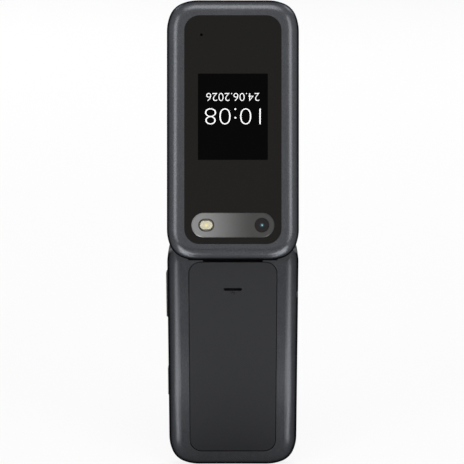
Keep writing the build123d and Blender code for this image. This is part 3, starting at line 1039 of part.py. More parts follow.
with BuildPart() as lid_screws:
    for screw in LID_SCREW_PLACES:
        disc(lid_level(LID_SCREW_SEAT), SCREW_HEAD_HEIGHT, SCREW_HEAD, screw)
        disc(lid_level(LID_SCREW_SEAT), LID_SCREW_LENGTH, SCREW_DIAMETER, screw)
        for size in (SCREW_CROSS, SCREW_CROSS[::-1]):
            plate(lid_level(LID_SCREW_SEAT - PAST), PAST + 0.4, size, screw, mode=Mode.SUBTRACT)
lid_screws.part.label = "lid_screws"
export_step(lid_screws.part, "parts/lid_screws.step")

with BuildPart() as lid_bumpers:
    for screw in BUMPER_PLACES:
        disc(lid_level(LID_FRONT - BUMPER_PROUD), BUMPER_THICKNESS, BUMPER_DIAMETER, screw)
lid_bumpers.part.label = "lid_bumpers"
export_step(lid_bumpers.part, "parts/lid_bumpers.step")

# ---------------------------------------------------------------- hinge parts held by the lid
with BuildPart() as hinge_shaft:
    rod(BARREL_HALF, CARTRIDGE_END - 5 * SLIP, SHAFT_DIAMETER)
    plate(lid_level(-SHAFT_HEAD / 2), SHAFT_HEAD, (BARREL_HALF - SHAFT_HEAD_START, SHAFT_HEAD),
          ((BARREL_HALF + SHAFT_HEAD_START) / 2, 0))
hinge_shaft.part.label = "hinge_shaft"
export_step(hinge_shaft.part, "parts/hinge_shaft.step")

with BuildPart() as hinge_flex:
    rod(FLEX_START, FLEX_X + FLEX_WIDTH / 2, FLEX_OUTER)
    rod(FLEX_START, FLEX_X + FLEX_WIDTH / 2, FLEX_OUTER - 2 * FLEX_THICKNESS, mode=Mode.SUBTRACT)
    plate(lid_level(FLEX_OUTER / 2 - FLEX_THICKNESS / 2), FLEX_LEVEL - FLEX_OUTER / 2 + 1.5 * FLEX_THICKNESS,
          (FLEX_WIDTH, FLEX_THICKNESS), (FLEX_X, FLEX_THICKNESS / 2))
    tongue_size, tongue_centre = span(FLEX_WIDTH, 0, LID_CAVITY_LOW + PAST)
    plate(lid_level(FLEX_LEVEL), FLEX_THICKNESS, tongue_size, (FLEX_X, tongue_centre[1]))
    plate(lid_level(FLEX_LEVEL), LID_BOARD_FRONT - FLEX_LEVEL + BOARD_THICKNESS / 2, (FLEX_WIDTH, FLEX_THICKNESS),
          (FLEX_X, LID_CAVITY_LOW + PAST))
hinge_flex.part.label = "hinge_flex"
export_step(hinge_flex.part, "parts/hinge_flex.step")
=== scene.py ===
import json

import bmesh
import bpy
import numpy as np
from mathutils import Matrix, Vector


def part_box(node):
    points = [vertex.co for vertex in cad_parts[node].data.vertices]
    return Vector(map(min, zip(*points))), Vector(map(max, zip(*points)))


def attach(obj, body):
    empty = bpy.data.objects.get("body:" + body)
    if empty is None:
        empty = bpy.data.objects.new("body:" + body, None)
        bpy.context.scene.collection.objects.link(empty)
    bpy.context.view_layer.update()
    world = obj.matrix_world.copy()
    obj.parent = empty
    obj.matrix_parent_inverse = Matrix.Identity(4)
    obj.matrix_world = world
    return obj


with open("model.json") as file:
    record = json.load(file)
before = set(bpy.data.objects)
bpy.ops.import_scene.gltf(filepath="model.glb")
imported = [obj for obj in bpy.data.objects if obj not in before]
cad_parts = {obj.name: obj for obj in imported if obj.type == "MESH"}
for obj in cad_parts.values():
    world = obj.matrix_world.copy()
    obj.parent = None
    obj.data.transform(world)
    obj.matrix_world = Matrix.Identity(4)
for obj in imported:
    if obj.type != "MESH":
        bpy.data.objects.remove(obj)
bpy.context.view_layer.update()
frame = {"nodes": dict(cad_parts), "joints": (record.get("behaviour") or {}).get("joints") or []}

# ---------------------------------------------------------------- camera
# The phone stands open on the far end of its base, and the lid leans forward over the keypad.
# The camera looks square onto the lid's outer face, a little above the hinge, from under 0.7 m.
# Sizes on the phone are in mm in every section.
MM = 0.001
HINGE_JOINT = next(joint for joint in frame["joints"] if joint["name"] == "lid_hinge")
HINGE = np.array(HINGE_JOINT["pos_m"])
LEAN = np.pi - np.radians(HINGE_JOINT["range_deg"][1])
ACROSS = np.array([1.0, 0.0, 0.0])
BASE_UP = np.array([0.0, 0.0, 1.0])
BASE_OUT = np.array([0.0, 1.0, 0.0])
LID_UP = np.array([0.0, -np.sin(LEAN), np.cos(LEAN)])
LID_OUT = np.array([0.0, np.cos(LEAN), np.sin(LEAN)])
CAMERA_DISTANCE = 684.0
CAMERA_Q = 4.01
CAMERA_X = 0.367
LID_SIDE_LEVEL = 5.8
FRAME_WIDTH = 193.33
SENSOR_WIDTH = 36.0
NEAREST_SEEN = 0.01


def place(half, x, q, r):
    """A point from mm: the hinge + x across + q up the lid or the base + r out of its back."""
    up, out = (LID_UP, LID_OUT) if half == "lid" else (BASE_UP, BASE_OUT)
    return HINGE + MM * (x * ACROSS + q * up + r * out)


camera = bpy.data.cameras.new("camera")
camera.sensor_width = SENSOR_WIDTH
camera.lens = SENSOR_WIDTH * CAMERA_DISTANCE / FRAME_WIDTH
camera.clip_start = NEAREST_SEEN
camera_object = bpy.data.objects.new("camera", camera)
bpy.context.scene.collection.objects.link(camera_object)
camera_object.location = place("lid", CAMERA_X, CAMERA_Q, LID_SIDE_LEVEL + CAMERA_DISTANCE)
camera_object.rotation_euler = (np.pi / 2 - LEAN, 0.0, np.pi)
bpy.context.scene.camera = camera_object
bpy.context.scene.view_settings.view_transform = "Standard"

# ---------------------------------------------------------------- floor and room
# A pale studio floor in a white room. What sees the room directly, by a mirror or through glass
# finds it white, while the light that it throws on the phone stays at a plain level. The floor
# glows by less than the room, because its own pale colour is lit as well.
FLOOR_SIZE = 6.0
FLOOR_WHITE = 0.8
FLOOR_ROUGHNESS = 0.9
FLOOR_SPECULAR = 0.1
FLOOR_GLOW = 0.85
FLOOR_GLOW_MIRRORED = 0.4
ROOM_LIGHT = 0.12


class Value:
    """A number that changes over a surface. Python's operators on it add the Math nodes."""

    def __init__(self, nodes, socket):
        self.nodes = nodes
        self.socket = socket

    def _math(self, operation, *others, swap=False):
        inputs = [self, *others]
        if swap:
            inputs.reverse()
        return self.nodes.node("ShaderNodeMath", {"operation": operation}, dict(enumerate(inputs)))

    def __add__(self, other):
        return self._math("ADD", other)

    def __radd__(self, other):
        return self._math("ADD", other)

    def __sub__(self, other):
        return self._math("SUBTRACT", other)

    def __rsub__(self, other):
        return self._math("SUBTRACT", other, swap=True)

    def __mul__(self, other):
        return self._math("MULTIPLY", other)

    def __rmul__(self, other):
        return self._math("MULTIPLY", other)

    def __truediv__(self, other):
        return self._math("DIVIDE", other)

    def __rtruediv__(self, other):
        return self._math("DIVIDE", other, swap=True)

    def __mod__(self, other):
        return self._math("FLOORED_MODULO", other)

    def __abs__(self):
        return self._math("ABSOLUTE")

    def __lt__(self, other):
        return self._math("LESS_THAN", other)

    def __gt__(self, other):
        return self._math("GREATER_THAN", other)

    def __or__(self, other):
        return self._math("MAXIMUM", other)

    def between(self, low, high):
        """0 below low, 1 above high, smooth between them."""
        return self.nodes.node("ShaderNodeMapRange", {"interpolation_type": "SMOOTHSTEP"},
                               {"Value": self, "From Min": low, "From Max": high})

    def zigzag(self, pitch):
        """0.5 at each multiple of the pitch, 0 halfway between: abs(self / pitch mod 1 - 0.5)."""
        return abs(self / pitch % 1.0 - 0.5)


class Nodes:
    """A node tree. Every node comes from node(), which fills its settings, then its sockets."""

    def __init__(self, tree):
        self.tree = tree

    def node(self, kind, settings=None, inputs=None, output=0):
        made = self.tree.nodes.new(kind)
        for key, value in (settings or {}).items():
            setattr(made, key, value)
        for key, value in (inputs or {}).items():
            if isinstance(value, Value):
                self.tree.links.new(value.socket, made.inputs[key])
            else:
                made.inputs[key].default_value = value
        return Value(self, made.outputs[output])

    def rays(self, *names):
        """1 for a ray of one of these kinds, else 0."""
        found = self.node("ShaderNodeLightPath", output=names[0])
        for name in names[1:]:
            found = found | self.node("ShaderNodeLightPath", output=name)
        return found


class Finish(Nodes):
    """One material: a Principled shader whose plain values stand on its sockets."""

    def __init__(self, name, colour, roughness, metallic=0.0, specular=0.5, **sockets):
        self.material = bpy.data.materials.new(name)
        self.material.use_nodes = True
        super().__init__(self.material.node_tree)
        self.shader = self.tree.nodes["Principled BSDF"]
        self.roughness = roughness
        values = {"Base Color": (*colour, 1.0), "Roughness": roughness, "Metallic": metallic,
                  "Specular IOR Level": specular}
        for socket, value in sockets.items():
            values[socket.replace("_", " ").title()] = value
        for socket, value in values.items():
            self.shader.inputs[socket].default_value = value

    def feed(self, socket, value):
        self.tree.links.new(value.socket, self.shader.inputs[socket])

    def point(self):
        return self.node("ShaderNodeTexCoord", output="Object")

    def along(self, direction, origin=HINGE):
        """Distance in mm from an origin along a direction."""
        offset = self.node("ShaderNodeVectorMath", {"operation": "SUBTRACT"},
                           {0: self.point(), 1: origin})
        return self.node("ShaderNodeVectorMath", {"operation": "DOT_PRODUCT"},
                         {0: offset, 1: direction / MM}, output="Value")

    def away(self, origin):
        """Distance in mm from a point."""
        return self.node("ShaderNodeVectorMath", {"operation": "DISTANCE"},
                         {0: self.point(), 1: origin}, output="Value") / MM

    def noise(self, size, detail=2.0, rough=0.5, stretch=(1.0, 1.0, 1.0)):
        """Noise in 0 to 1 whose lumps are about size mm across, or longer by 1 / stretch."""
        where = self.node("ShaderNodeMapping", {}, {"Vector": self.point(), "Scale": stretch})
        return self.node("ShaderNodeTexNoise", {}, {"Vector": where, "Scale": 1 / (size * MM),
                                                    "Detail": detail, "Roughness": rough})

    def mix(self, factor, first, second):
        """A colour from first to second, as factor goes from 0 to 1. A Mix node takes colours by
        its inputs 6 and 7 and gives one by its output 2."""
        first = first if isinstance(first, Value) else (*first, 1.0)
        return self.node("ShaderNodeMix", {"data_type": "RGBA"},
                         {0: factor, 6: first, 7: (*second, 1.0)}, output=2)

    def colours(self, factor, first, second):
        """Lets the colour go from first to second, as factor goes from 0 to 1."""
        self.feed("Base Color", self.mix(factor, first, second))

    def uneven(self, spread, pattern):
        """Lets the roughness go from half the spread below its plain value to half above it."""
        self.feed("Roughness", self.roughness - spread / 2 + spread * pattern)

    def relief(self, height):
        """Relief of that height in mm."""
        self.feed("Normal", self.node("ShaderNodeBump", {}, {"Height": height, "Distance": MM}))

    def on(self, *nodes):
        for node in nodes:
            mesh = frame["nodes"][node].data
            mesh.materials.clear()
            mesh.materials.append(self.material)


def show_background(nodes, lit, output, share=1.0, mirrored=1.0):
    """Mixes a white glow of strength 1 into what lights the scene: by one share for rays from the
    camera, and by another for rays that a metal or a clear part sends there."""
    glow = nodes.node("ShaderNodeEmission", {}, {"Strength": 1.0})
    seen = nodes.rays("Is Camera Ray") * share
    seen = seen | nodes.rays("Is Glossy Ray", "Is Transmission Ray") * mirrored
    mixed = nodes.node("ShaderNodeMixShader", {}, {0: seen, 1: lit, 2: glow})
    nodes.tree.links.new(mixed.socket, output.inputs[0])


def add(name, content):
    """A new object in the scene, at the origin."""
    thing = bpy.data.objects.new(name, content)
    bpy.context.scene.collection.objects.link(thing)
    return thing


floor_mesh = bpy.data.meshes.new("floor")
floor_mesh.from_pydata([(-FLOOR_SIZE, -FLOOR_SIZE, 0), (FLOOR_SIZE, -FLOOR_SIZE, 0),
                        (FLOOR_SIZE, FLOOR_SIZE, 0), (-FLOOR_SIZE, FLOOR_SIZE, 0)],
                       [], [(0, 1, 2, 3)])
floor_finish = Finish("studio_floor", (FLOOR_WHITE,) * 3, FLOOR_ROUGHNESS, specular=FLOOR_SPECULAR)
floor_mesh.materials.append(floor_finish.material)
show_background(floor_finish, Value(floor_finish, floor_finish.shader.outputs[0]),
                floor_finish.tree.nodes["Material Output"], FLOOR_GLOW, FLOOR_GLOW_MIRRORED)
add("floor", floor_mesh)

world = bpy.data.worlds.new("room")
bpy.context.scene.world = world
world.use_nodes = True
room = Nodes(world.node_tree)
dim = room.tree.nodes["Background"]
dim.inputs["Color"].default_value = (1, 1, 1, 1)
dim.inputs["Strength"].default_value = ROOM_LIGHT
show_background(room, Value(room, dim.outputs[0]), room.tree.nodes["World Output"])

# ---------------------------------------------------------------- softboxes
# Two tall boxes beside the phone draw the bands down the lid's rounded sides, and four that lie on
# the floor do it for the base. One hangs over the camera, two light the keypad side. Places are in
# degrees and metres, sizes are width and height in metres.
SIDE_PLACE = (47, 21, 0.55)
SIDE_SIZE = (0.21, 0.42)
SIDE_LEVEL = 3.0
LOW_PLACE = (40, 0.218)
LOW_SIZE = (0.09, 0.27)
FOOT_PLACE = (49, 0.066)
FOOT_SIZE = (0.0185, 0.044)
LOW_LEVEL = 4.0
LOW_CLEARANCE = 0.002
TOP_PLACE = (0, 74, 1.2)
TOP_SIZE = (0.6, 0.65)
TOP_LEVEL = 3.0
KEYPAD_LEFT_PLACE = (150, 30, 1.5)
KEYPAD_RIGHT_PLACE = (-140, 35, 1.5)
KEYPAD_SIZE = (0.9, 0.9)
KEYPAD_LEVEL = 4.5
FACE_UP = -90


def softbox(name, turn, tilt, distance, size, level, face=None):
    """A rectangular lamp aimed at the hinge: degrees round from the camera and up, metres away, and
    its brightness against a white wall. Its own face may tilt by other degrees than its place."""
    width, height = size
    lamp = bpy.data.lights.new(name, "AREA")
    lamp.shape = "RECTANGLE"
    lamp.size = width
    lamp.size_y = height
    lamp.energy = level * np.pi * width * height
    turn, tilt = np.radians(turn), np.radians(tilt)
    face = tilt if face is None else np.radians(face)
    away = np.array([np.sin(turn) * np.cos(tilt), np.cos(turn) * np.cos(tilt), np.sin(tilt)])
    box = add(name, lamp)
    box.location = HINGE + distance * away
    box.rotation_euler = (np.pi / 2 - face, 0.0, np.pi - turn)
    box.visible_camera = False


def floor_box(name, turn, reach, size):
    """A softbox that lies just over the floor and faces up: degrees round, metres out."""
    drop = HINGE[2] - LOW_CLEARANCE
    tilt = -np.degrees(np.arctan2(drop, reach))
    softbox(name, turn, tilt, np.hypot(reach, drop), size, LOW_LEVEL, face=FACE_UP)


def other_side(place_round):
    """A place as far round on the camera's other side."""
    return (-place_round[0], *place_round[1:])


softbox("left_box", *SIDE_PLACE, SIDE_SIZE, SIDE_LEVEL)
softbox("right_box", *other_side(SIDE_PLACE), SIDE_SIZE, SIDE_LEVEL)
floor_box("left_low_box", *LOW_PLACE, LOW_SIZE)
floor_box("right_low_box", *other_side(LOW_PLACE), LOW_SIZE)
floor_box("left_foot_box", *FOOT_PLACE, FOOT_SIZE)
floor_box("right_foot_box", *other_side(FOOT_PLACE), FOOT_SIZE)
softbox("top_box", *TOP_PLACE, TOP_SIZE, TOP_LEVEL)
softbox("keypad_left_box", *KEYPAD_LEFT_PLACE, KEYPAD_SIZE, KEYPAD_LEVEL)
softbox("keypad_right_box", *KEYPAD_RIGHT_PLACE, KEYPAD_SIZE, KEYPAD_LEVEL)

# ---------------------------------------------------------------- painted shells
# The lid's outer shell and the base's housing are moulded in black, then sprayed outside with a
# satin metallic grey: fine flakes in a slightly uneven, very finely pebbled coat. Its flakes lie
# flat, so it darkens where it turns away from the eye.
PAINT = (0.083, 0.086, 0.0925)
PAINT_DEEP = (0.055, 0.0573, 0.0628)
PAINT_FLOP = (0.02, 0.02, 0.02, 1.0)
BASE_PAINTED_SHADE = 0.68
LID_ROUGHNESS = 0.27
BASE_ROUGHNESS = 0.3
PAINT_SPREAD = 0.06
FLAKE_SIZE = 0.38
FLAKE_EDGES = (0.35, 0.7)
FLAKE_SHARE = 0.75
CLOUD_SIZE = 9.0
PEBBLE_SIZE = 0.3
PEBBLE_DEPTH = 0.006
UNPAINTED_BLACK_AND_SHADE = (0.004, 0.004, 0.0042)
UNPAINTED_SHADE_DEPTH = 0.12
RECESS_MARGIN = 0.27


def face_level(half, node, front=False):
    """Level in mm of a node's outermost face, or of its face on the keypad side."""
    mesh = frame["nodes"][node].data
    points = np.empty(len(mesh.vertices) * 3)
    mesh.vertices.foreach_get("co", points)
    levels = (points.reshape(-1, 3) - HINGE) @ (LID_OUT if half == "lid" else BASE_OUT) / MM
    return levels.min() if front else levels.max()


def corners_of(node):
    """A node's lowest and highest corner, as arrays."""
    return tuple(np.array(corner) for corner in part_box(node))


cover_low, cover_high = corners_of("battery_cover")
BASE_BACK = face_level("base", "base_housing")
RECESS_HALF = cover_high[0] / MM + RECESS_MARGIN
RECESS_LOW = (cover_low[2] - HINGE[2]) / MM - RECESS_MARGIN


def metallic_paint(name, rough, painted_shade=1.0, recess=False):
    """The paint, its colour darkened by a factor for a copy in painted shade. The recess under the
    battery cover is left in black, the bare moulding, which also stands in for the shade in its
    groove.
    """
    paint = Finish(name, PAINT, rough, 1.0, specular_tint=PAINT_FLOP)
    flakes = paint.noise(FLAKE_SIZE, detail=1.0).between(*FLAKE_EDGES)
    clouds = paint.noise(CLOUD_SIZE)
    colour = paint.mix(flakes * FLAKE_SHARE + clouds * (1 - FLAKE_SHARE),
                       painted_shade * np.array(PAINT_DEEP), painted_shade * np.array(PAINT))
    # Below the back face inside the cover's recess the colour turns black: the bare moulding, and
    # painted shade that darkens the groove round the cover.
    if recess:
        below = paint.along(BASE_OUT) < BASE_BACK - UNPAINTED_SHADE_DEPTH
        inside = (abs(paint.along(ACROSS)) < RECESS_HALF) * (paint.along(BASE_UP) > RECESS_LOW)
        colour = paint.mix(below * inside, colour, UNPAINTED_BLACK_AND_SHADE)
    paint.feed("Base Color", colour)
    paint.uneven(PAINT_SPREAD, clouds)
    paint.relief(PEBBLE_DEPTH * paint.noise(PEBBLE_SIZE, detail=1.0))
    return paint


metallic_paint("lid_paint", LID_ROUGHNESS).on("lid_cover")
# The base's copy of the same paint is darkened: painted shade.
metallic_paint("base_paint", BASE_ROUGHNESS, BASE_PAINTED_SHADE, recess=True).on("base_housing")

# ---------------------------------------------------------------- battery cover
# The cover over the battery is moulded in charcoal plastic from a spark-eroded tool, which leaves
# its face matt and finely grained.
COVER_COLOUR = (0.0228, 0.0233, 0.0252)
COVER_PALE = (0.0287, 0.0293, 0.0318)
COVER_ROUGHNESS = 0.62
COVER_SPREAD = 0.12
COVER_SPECULAR = 0.05
COVER_GRAIN = 0.28
COVER_GRAIN_EDGES = (0.3, 0.75)
COVER_GRAIN_DEPTH = 0.012

charcoal = Finish("grained_charcoal", COVER_COLOUR, COVER_ROUGHNESS, specular=COVER_SPECULAR)
grain = charcoal.noise(COVER_GRAIN, detail=3.0, rough=0.6)
charcoal.colours(grain.between(*COVER_GRAIN_EDGES), COVER_COLOUR, COVER_PALE)
charcoal.uneven(COVER_SPREAD, grain)
charcoal.relief(COVER_GRAIN_DEPTH * grain)
charcoal.on("battery_cover")

# ---------------------------------------------------------------- inner frames
# The lid's inner frame and the keypad's bezel are dark glass-filled mouldings with a smooth satin
# face and a faint flow mottle.
FRAME_COLOUR = (0.0125, 0.0126, 0.0135)
FRAME_PALE = (0.0165, 0.0167, 0.0178)
FRAME_ROUGHNESS = 0.42
FRAME_SPREAD = 0.08
FRAME_MOTTLE = 2.5
FRAME_PEBBLE = 0.2
FRAME_PEBBLE_DEPTH = 0.004

frame_plastic = Finish("frame_plastic", FRAME_COLOUR, FRAME_ROUGHNESS)
mottle = frame_plastic.noise(FRAME_MOTTLE, detail=3.0)
frame_plastic.colours(mottle, FRAME_COLOUR, FRAME_PALE)
frame_plastic.uneven(FRAME_SPREAD, mottle)
frame_plastic.relief(FRAME_PEBBLE_DEPTH * frame_plastic.noise(FRAME_PEBBLE, detail=1.0))
frame_plastic.on("lid_frame", "keypad_bezel")

# ---------------------------------------------------------------- windows
# Each display lies under an acrylic window that is printed smoky black on its inner side. The
# outer one is a little brown where light passes the print.
SMOKE = (0.0040, 0.0033, 0.0022)
SMOKE_ROUGHNESS = 0.13
SMOKE_SPECULAR = 0.16
INK = (0.0030, 0.0031, 0.0034)
INK_ROUGHNESS = 0.07
WINDOW_SPREAD = 0.02
WINDOW_RIPPLE = 14.0

outer_smoke = Finish("outer_smoke", SMOKE, SMOKE_ROUGHNESS, specular=SMOKE_SPECULAR)
outer_smoke.uneven(WINDOW_SPREAD, outer_smoke.noise(WINDOW_RIPPLE))
outer_smoke.on("outer_window")
inner_ink = Finish("inner_ink", INK, INK_ROUGHNESS)
inner_ink.uneven(WINDOW_SPREAD, inner_ink.noise(WINDOW_RIPPLE))
inner_ink.on("inner_window")

# ---------------------------------------------------------------- cover display
# The small display behind the outer window shows as a plain black field with thin white figures.
# They stand the right way up when the phone is shut in the hand, so here they are upside down.
PRINT_THICKNESS = 0.02
FIELD_WIDTH = 28.9
FIELD_LOW_Q = 33.8
FIELD_HIGH_Q = 69.5
FIELD_Q = (FIELD_LOW_Q + FIELD_HIGH_Q) / 2
FIELD_BLACK = (0.0004, 0.0004, 0.0004)
FIELD_ROUGHNESS = 0.1
FIELD_SPECULAR = 0.03
SHARP_CORNER = 0.25
TIME_TEXT = "10:08"
TIME_HEIGHT = 6.65
TIME_WIDTH = 23.0
TIME_Q = 51.8
TIME_THIN = 0.026
DATE_TEXT = "24.06.2026"
DATE_HEIGHT = 3.3
DATE_WIDTH = 22.0
DATE_Q = 59.8
DATE_THIN = 0.014
FIGURE_WHITE = (0.8, 0.8, 0.8)
FIGURE_GLOW = 0.35
FIGURE_ROUGHNESS = 0.4
LETTER_STEPS = 5
MERGE_DISTANCE = 0.0001


class Sheet:
    """A flat place in mm: u along right, v along up and w out of it, from a centre in metres."""

    def __init__(self, centre, right, up):
        self.centre, self.right, self.up = centre, right, up
        self.out = np.cross(right, up)

    def at(self, u, v, w):
        """centre + u right + v up + w out, for arrays."""
        u, v, w = np.broadcast_arrays(u, v, w)
        return self.centre + MM * (u[..., None] * self.right + v[..., None] * self.up
                                   + w[..., None] * self.out)

    def moved(self, u, v, w=0.0):
        """The same sheet with its centre somewhere else on it, or over it."""
        return Sheet(self.at(u, v, w), self.right, self.up)


def tube(name, points):
    """The surface points[i, j] as a mesh of quads: each joins i, i + 1 and j, j + 1, and the last
    j joins the first."""
    rings, around = points.shape[:2]
    index = np.arange(rings * around).reshape(rings, around)
    after = np.roll(index, -1, axis=1)
    quads = np.stack([index[:-1], after[:-1], after[1:], index[1:]], axis=-1)
    mesh = bpy.data.meshes.new(name)
    mesh.from_pydata(points.reshape(-1, 3).tolist(), [], quads.reshape(-1, 4).tolist())
    return mesh


def closed(mesh, ends=None):
    """Makes a mesh one closed skin: adds the end faces, joins its doubles and turns its faces out.

    ends(vertices) gives the corners of each face that is still missing."""
    work = bmesh.new()
    work.from_mesh(mesh)
    work.verts.ensure_lookup_table()
    for corners in ends(work.verts) if ends else ():
        work.faces.new(corners)
    bmesh.ops.remove_doubles(work, verts=work.verts, dist=MERGE_DISTANCE * MM)
    bmesh.ops.recalc_face_normals(work, faces=work.faces)
    work.to_mesh(mesh)
    work.free()
    return mesh


def rounded(width, height, radius, steps=7):
    """A rectangle's outline with round corners: each corner's centre + radius (cos t, sin t)."""
    turn = np.linspace(0, np.pi / 2, steps) + np.arange(4)[:, None] * np.pi / 2
    half = np.array([width / 2 - radius, height / 2 - radius])
    sign = np.array([(1, 1), (-1, 1), (-1, -1), (1, -1)])[:, None]
    return (sign * half + radius * np.stack([np.cos(turn), np.sin(turn)], axis=-1)).reshape(-1, 2)


def plate(name, sheet, outline, thickness=PRINT_THICKNESS):
    """A closed plate: the outline's points at levels 0 and thickness, and a face at each end."""
    levels = np.array([0.0, thickness])[:, None]
    count = len(outline)
    return closed(tube(name, sheet.at(outline[:, 0], outline[:, 1], levels)),
                  lambda corners: (corners[:count][::-1], corners[count:]))


def join(name, meshes):
    """Several meshes made one."""
    work = bmesh.new()
    for mesh in meshes:
        work.from_mesh(mesh)
        bpy.data.meshes.remove(mesh)
    whole = bpy.data.meshes.new(name)
    work.to_mesh(whole)
    work.free()
    return whole


def print_text(name, text, height, sheet, width=None, thin=0.0):
    """Plain figures as a thin closed mesh, centred on the sheet, height mm tall and, where it is
    given, width mm wide.

    The font's outline (u, v) is scaled about its middle, and its w, which is 1 thick, by the
    print's thickness."""
    curve = bpy.data.curves.new(name, "FONT")
    curve.body = text
    curve.extrude = 0.5
    curve.resolution_u = LETTER_STEPS
    curve.offset = -thin
    written = add(name, curve)
    mesh = bpy.data.meshes.new_from_object(written)
    bpy.data.objects.remove(written)
    bpy.data.curves.remove(curve)
    points = np.empty(len(mesh.vertices) * 3)
    mesh.vertices.foreach_get("co", points)
    points = points.reshape(-1, 3)
    low, high = points.min(axis=0), points.max(axis=0)
    tall = height / (high[1] - low[1])
    wide = width / (high[0] - low[0]) if width else tall
    flat = (points - (low + high) / 2) * (wide, tall, 1.0)
    placed = sheet.at(flat[:, 0], flat[:, 1], (points[:, 2] - low[2]) * PRINT_THICKNESS)
    mesh.vertices.foreach_set("co", placed.ravel())
    return closed(mesh)


def fit(name, mesh, finish, body):
    """Adds a finished piece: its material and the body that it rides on."""
    mesh.name = name
    mesh.materials.clear()
    mesh.materials.append(finish.material)
    piece = add(name, mesh)
    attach(piece, body)


outer_sheet = Sheet(place("lid", 0.0, FIELD_Q, face_level("lid", "outer_window")), ACROSS, -LID_UP)
black_field = Finish("black_field", FIELD_BLACK, FIELD_ROUGHNESS, specular=FIELD_SPECULAR)
black_field.uneven(WINDOW_SPREAD, black_field.noise(WINDOW_RIPPLE))
field_outline = rounded(FIELD_WIDTH, FIELD_HIGH_Q - FIELD_LOW_Q, SHARP_CORNER)
fit("cover_display_field", plate("field", outer_sheet, field_outline), black_field, "lid")
lit_white = Finish("lit_white", FIGURE_WHITE, FIGURE_ROUGHNESS, emission_color=(1.0, 1.0, 1.0, 1.0),
                   emission_strength=FIGURE_GLOW)
time_sheet = outer_sheet.moved(0.0, FIELD_Q - TIME_Q, PRINT_THICKNESS)
date_sheet = outer_sheet.moved(0.0, FIELD_Q - DATE_Q, PRINT_THICKNESS)
shown_time = print_text("time", TIME_TEXT, TIME_HEIGHT, time_sheet, TIME_WIDTH, TIME_THIN)
fit("cover_display_time", shown_time, lit_white, "lid")
shown_date = print_text("date", DATE_TEXT, DATE_HEIGHT, date_sheet, DATE_WIDTH, DATE_THIN)
fit("cover_display_date", shown_date, lit_white, "lid")

# ---------------------------------------------------------------- camera bar
# The bar that carries the camera and the flash is a pill of finely brushed, dark anodised metal.
# Across it runs a painted reflection: its colour goes from a painted highlight at the flash to
# painted shade past the camera. The camera looks through a small coated lens, with a painted glint.
BAR_PAINTED_HIGHLIGHT = (0.235, 0.237, 0.235)
BAR_PAINTED_SHADE = (0.060, 0.0594, 0.0582)
BAR_HIGHLIGHT_X = 16.0
BAR_SHADE_X = -9.0
BAR_ROUGHNESS = 0.36
BAR_METALLIC = 0.85
BAR_SPREAD = 0.08
BRUSHING_SIZE = 0.35
BRUSHING_STRETCH = (1.0, 0.05, 0.05)
BRUSHING_DEPTH = 0.003
BRUSHING_SHARE = 0.12
CAMERA_BAR_Q = 6.85
GLASS_DARK = (0.0075, 0.0058, 0.0052)
GLASS_ROUGHNESS = 0.08
GLASS_SPECULAR = 0.22
IRIS_BLUE = (0.002, 0.006, 0.008)
IRIS_RADIUS = 1.3
IRIS_FADE = 0.3
LENS_X = -12.0
LENS_RADIUS = 0.9
LENS_HEIGHT = 0.12
LENS_ROUGHNESS = 0.06
COATING_DARK = (0.006, 0.03, 0.045)
PAINTED_GLINT = (0.30, 0.62, 0.66)
PAINTED_GLINT_X = LENS_X - 0.1
PAINTED_GLINT_CORE = 0.15
PAINTED_GLINT_RADIUS = 0.45

bar_metal = Finish("anodised_bar", BAR_PAINTED_HIGHLIGHT, BAR_ROUGHNESS, BAR_METALLIC)
# The colour goes from painted shade past the camera to a painted highlight at the flash: a
# reflection painted into the metal.
painted_sheen = bar_metal.along(ACROSS).between(BAR_SHADE_X, BAR_HIGHLIGHT_X)
brushing = bar_metal.noise(BRUSHING_SIZE, rough=0.6, stretch=BRUSHING_STRETCH)
bar_metal.colours(painted_sheen * (1 - BRUSHING_SHARE / 2 + BRUSHING_SHARE * brushing), BAR_PAINTED_SHADE, BAR_PAINTED_HIGHLIGHT)
bar_metal.uneven(BAR_SPREAD, brushing)
bar_metal.relief(BRUSHING_DEPTH * brushing)
bar_metal.on("camera_plate")

camera_glass = Finish("camera_glass", GLASS_DARK, GLASS_ROUGHNESS, specular=GLASS_SPECULAR)
lens_centre = place("lid", LENS_X, CAMERA_BAR_Q, face_level("lid", "camera_window"))
from_lens = camera_glass.away(lens_centre)
camera_glass.colours(from_lens.between(IRIS_RADIUS - IRIS_FADE, IRIS_RADIUS), IRIS_BLUE, GLASS_DARK)
camera_glass.on("camera_window")


def dome(name, sheet, radius, height, rings=6, around=24):
    """A shallow cap, closed below: at s from 1 to 0 its point is radius s out and
    height (1 - s squared) up."""
    share = np.linspace(1.0, 0.0, rings + 1)[:, None]
    turn = np.linspace(0, 2 * np.pi, around, endpoint=False)
    points = sheet.at(radius * share * np.cos(turn), radius * share * np.sin(turn),
                      height * (1 - share ** 2))
    return closed(tube(name, points), lambda corners: (corners[:around][::-1],))


# The pale teal spot on the lens is a painted glint: a reflection painted into the coating's colour.
lens_coat = Finish("lens_coating", COATING_DARK, LENS_ROUGHNESS)
painted_glint_distance = lens_coat.away(place("lid", PAINTED_GLINT_X, CAMERA_BAR_Q, face_level("lid", "camera_window")))
lens_coat.colours(painted_glint_distance.between(PAINTED_GLINT_CORE, PAINTED_GLINT_RADIUS), PAINTED_GLINT, COATING_DARK)
fit("camera_lens", dome("lens", Sheet(lens_centre, ACROSS, -LID_UP), LENS_RADIUS, LENS_HEIGHT),
    lens_coat, "lid")

# ---------------------------------------------------------------- cover nub
# A small round nub is moulded on the battery cover just below its speaker slot. It keeps the slot
# off a table, so that sound can leave.
NUB_Q = -20.45
NUB_RADIUS = 0.55
NUB_HEIGHT = 0.3

nub_sheet = Sheet(place("base", 0.0, NUB_Q, face_level("base", "battery_cover")), -ACROSS, BASE_UP)
fit("cover_nub", dome("nub", nub_sheet, NUB_RADIUS, NUB_HEIGHT), charcoal, "battery_cover")

